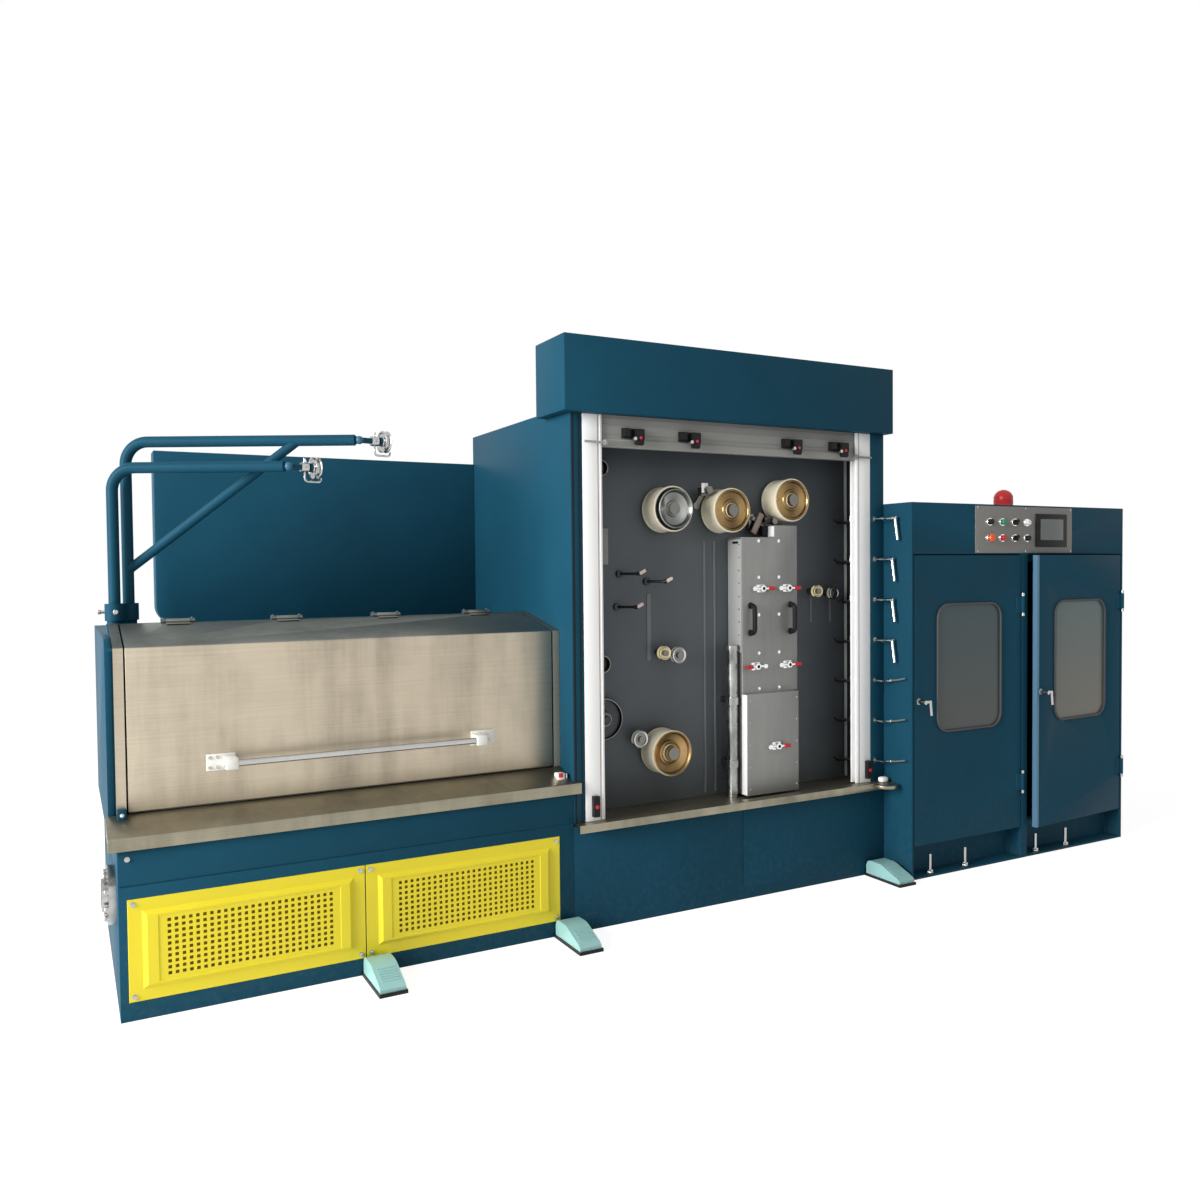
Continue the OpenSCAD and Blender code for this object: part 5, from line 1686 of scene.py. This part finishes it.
class WIREMACHINE_OT_pedals(bpy.types.Operator):
    """Form the hooded foot pedals"""
    bl_idname = "wiremachine.pedals"
    bl_label = "Foot pedals"

    def execute(self, context):
        a = low("foot_pedals")
        b = high("foot_pedals")
        width = 94 * MM
        draw_x0 = low("drawing_base").x
        draw_len = high("drawing_base").x - draw_x0
        places = [draw_x0 + 0.508 * draw_len, draw_x0 + 0.974 * draw_len, high("annealer_base").x - 75 * MM]
        long = b.y - a.y
        for i, x in enumerate(places):
            self.one(f"foot_pedal_{i + 1}", x, width, a, b, long)
        return {"FINISHED"}

    def one(self, name, x, width, a, b, long):
        """A hood that rises from the toe, with ribs across its slope."""
        side = [(0.00, 0.00), (0.00, 0.20), (0.06, 0.36), (0.52, 0.94), (0.60, 1.00), (0.88, 1.00),
                (0.96, 0.90), (1.00, 0.60), (1.00, 0.00)]
        rise = b.z - a.z
        hood = Shape()
        outline = [(0, a.y + u * long, a.z + v * rise) for u, v in side]
        hood.prism(outline, (1, 0, 0), x - width / 2, x + width / 2)
        edges = [e for e in hood.bm.edges if e.calc_face_angle(0) > math.radians(20)]
        bmesh.ops.bevel(hood.bm, geom=edges, offset=5 * MM, segments=3, profile=0.5, affect="EDGES",
                        clamp_overlap=True)
        slope = Vector((0, 0.46 * long, 0.58 * rise)).normalized()
        out = Vector((0, -slope.z, slope.y))
        start = Vector((x, a.y + 0.10 * long, a.z + 0.41 * rise))
        ribs = 6
        half = Vector((width * 0.36, 0, 0))
        for i in range(ribs):
            p = start + slope * (10 + 13 * i) * MM
            hood.rod(p - half + out * 0.5 * MM, p + half + out * 0.5 * MM, 2.6 * MM, 10, 1 * MM)
        hood.done(name, mint_paint(), "machine", ("foot_pedals",))


class WIREMACHINE_OT_flange(bpy.types.Operator):
    """Bolt the coolant flange to the left end and set the base's corner screw"""
    bl_idname = "wiremachine.flange"
    bl_label = "Flange bolts"

    def execute(self, context):
        a = low("coolant_flange")
        b = high("coolant_flange")
        centre = (a + b) / 2
        ring = 80 * MM
        count = 8
        points = [(a.x + 20 * MM, centre.y + ring * math.cos(2 * math.pi * (i + 0.5) / count),
                   centre.z + ring * math.sin(2 * math.pi * (i + 0.5) / count)) for i in range(count)]
        steel_screws("flange_bolts", points, (-1, 0, 0), 13 * MM, 14 * MM)
        base = low("drawing_base")
        top = high("drawing_base").z
        corner = (base.x + 30 * MM, base.y, top - 30 * MM)
        steel_screws("base_screws", [corner], (0, -1, 0), sizes().screw, 6 * MM, 16)
        return {"FINISHED"}


# Stage

CAMERA_YAW = 0.4919
CAMERA_PITCH = 0.0299
CAMERA_ROLL = -0.0095
CAMERA_PLACE = Vector((-2.6944, -4.2271, 1.5))
FRAME_PIXELS = 1200
FOCAL_PIXELS = 1004.45
SENSOR_MM = 36.0

# Strength of the room's light, and of the floor's own white and its share
ROOM_LIGHT = 0.42
FLOOR_WHITE = 1.34
FLOOR_SHARE = 0.65


def background_rays(tree):
    """One where the background is seen directly, through glass or in a reflection."""
    rays = tree.nodes.new("ShaderNodeLightPath")
    seen = calculated(tree, "MAXIMUM", rays.outputs["Is Camera Ray"], rays.outputs["Is Transmission Ray"])
    return calculated(tree, "MAXIMUM", seen, rays.outputs["Is Glossy Ray"])


class WIREMACHINE_OT_stage(bpy.types.Operator):
    """Set the camera, the lamps and the pale floor"""
    bl_idname = "wiremachine.stage"
    bl_label = "Stage"

    def execute(self, context):
        scene = context.scene
        scene.view_settings.view_transform = "Standard"
        self.camera(scene)
        self.world(scene)
        self.lamp("key", (-8.6, -1.9, 3.3), (-0.8, 0.1, 1.1), 4.0, 980)
        self.lamp("fill", (-1.5, -8.5, 4.2), (-0.6, 0.0, 1.0), 5.0, 20)
        self.floor()
        return {"FINISHED"}

    def camera(self, scene):
        forward = Vector((math.sin(CAMERA_YAW) * math.cos(CAMERA_PITCH),
                          math.cos(CAMERA_YAW) * math.cos(CAMERA_PITCH),
                          -math.sin(CAMERA_PITCH)))
        right = Vector((math.cos(CAMERA_YAW), -math.sin(CAMERA_YAW), 0))
        up = right.cross(forward)
        across = right * math.cos(CAMERA_ROLL) + up * math.sin(CAMERA_ROLL)
        upward = up * math.cos(CAMERA_ROLL) - right * math.sin(CAMERA_ROLL)
        data = bpy.data.cameras.new("photo_camera")
        data.sensor_width = SENSOR_MM
        data.sensor_fit = "HORIZONTAL"
        data.lens = FOCAL_PIXELS / FRAME_PIXELS * SENSOR_MM
        data.clip_end = 200
        camera = bpy.data.objects.new("photo_camera", data)
        turn = Matrix((across, upward, -forward)).transposed().to_4x4()
        camera.matrix_world = Matrix.Translation(CAMERA_PLACE) @ turn
        scene.collection.objects.link(camera)
        scene.camera = camera

    def world(self, scene):
        world = bpy.data.worlds.new("studio")
        scene.world = world
        world.use_nodes = True
        tree = world.node_tree
        tree.nodes.clear()
        out = tree.nodes.new("ShaderNodeOutputWorld")
        seen = tree.nodes.new("ShaderNodeBackground")
        seen.inputs["Color"].default_value = (1, 1, 1, 1)
        seen.inputs["Strength"].default_value = 1.0
        light = tree.nodes.new("ShaderNodeBackground")
        light.inputs["Color"].default_value = (1.0, 0.99, 0.97, 1)
        light.inputs["Strength"].default_value = ROOM_LIGHT
        mix = tree.nodes.new("ShaderNodeMixShader")
        tree.links.new(background_rays(tree), mix.inputs[0])
        tree.links.new(light.outputs[0], mix.inputs[1])
        tree.links.new(seen.outputs[0], mix.inputs[2])
        tree.links.new(mix.outputs[0], out.inputs["Surface"])

    def lamp(self, name, place, aim, size, power):
        data = bpy.data.lights.new(name, "AREA")
        data.shape = "SQUARE"
        data.size = size
        data.energy = power
        lamp = bpy.data.objects.new(name, data)
        lamp.location = place
        lamp.rotation_euler = (Vector(aim) - Vector(place)).to_track_quat("-Z", "Y").to_euler()
        bpy.context.scene.collection.objects.link(lamp)

    def floor(self):
        reach = 60.0
        mesh = bpy.data.meshes.new("floor")
        mesh.from_pydata([(-reach, -reach, 0), (reach, -reach, 0), (reach, reach, 0), (-reach, reach, 0)], [],
                         [(0, 1, 2, 3)])
        material = bpy.data.materials.new("pale_floor")
        material.use_nodes = True
        tree = material.node_tree
        surface = tree.nodes["Principled BSDF"]
        surface.inputs["Base Color"].default_value = (0.93, 0.93, 0.93, 1)
        surface.inputs["Roughness"].default_value = 0.9
        surface.inputs["Specular IOR Level"].default_value = 0.0
        white = tree.nodes.new("ShaderNodeEmission")
        white.inputs["Strength"].default_value = FLOOR_WHITE
        share = calculated(tree, "MULTIPLY", background_rays(tree), FLOOR_SHARE)
        mix = tree.nodes.new("ShaderNodeMixShader")
        tree.links.new(share, mix.inputs[0])
        tree.links.new(surface.outputs[0], mix.inputs[1])
        tree.links.new(white.outputs[0], mix.inputs[2])
        tree.links.new(mix.outputs[0], tree.nodes["Material Output"].inputs["Surface"])
        mesh.materials.append(material)
        floor = bpy.data.objects.new("floor", mesh)
        floor.location.z = -0.5 * MM
        bpy.context.scene.collection.objects.link(floor)


STEPS = ("finishes", "housings", "guards", "cover", "jibs", "collars", "sheaves", "chamber", "shutter",
         "plate", "hooks", "windows", "panel", "beacon", "pedals", "flange", "stage")


class WIREMACHINE_PT_panel(bpy.types.Panel):
    """Lists the steps that dress the machine"""
    bl_idname = "WIREMACHINE_PT_panel"
    bl_label = "Wire machine"
    bl_space_type = "VIEW_3D"
    bl_region_type = "UI"
    bl_category = "Wire machine"

    def draw(self, context):
        for step in STEPS:
            self.layout.operator("wiremachine." + step)


CLASSES = (WireMachineSizes, WireMachineColours, WIREMACHINE_OT_finishes, WIREMACHINE_OT_housings,
           WIREMACHINE_OT_guards, WIREMACHINE_OT_cover, WIREMACHINE_OT_jibs, WIREMACHINE_OT_collars,
           WIREMACHINE_OT_sheaves, WIREMACHINE_OT_chamber, WIREMACHINE_OT_shutter, WIREMACHINE_OT_plate,
           WIREMACHINE_OT_hooks, WIREMACHINE_OT_windows, WIREMACHINE_OT_panel, WIREMACHINE_OT_beacon,
           WIREMACHINE_OT_pedals, WIREMACHINE_OT_flange, WIREMACHINE_OT_stage, WIREMACHINE_PT_panel)


def register():
    for cls in CLASSES:
        bpy.utils.register_class(cls)
    bpy.types.Scene.wire_machine_sizes = PointerProperty(type=WireMachineSizes)
    bpy.types.Scene.wire_machine_colours = PointerProperty(type=WireMachineColours)


def unregister():
    del bpy.types.Scene.wire_machine_colours
    del bpy.types.Scene.wire_machine_sizes
    for cls in reversed(CLASSES):
        bpy.utils.unregister_class(cls)


def main():
    register()
    for step in STEPS:
        getattr(bpy.ops.wiremachine, step)()
    bpy.context.view_layer.update()


if __name__ == "__main__":
    main()
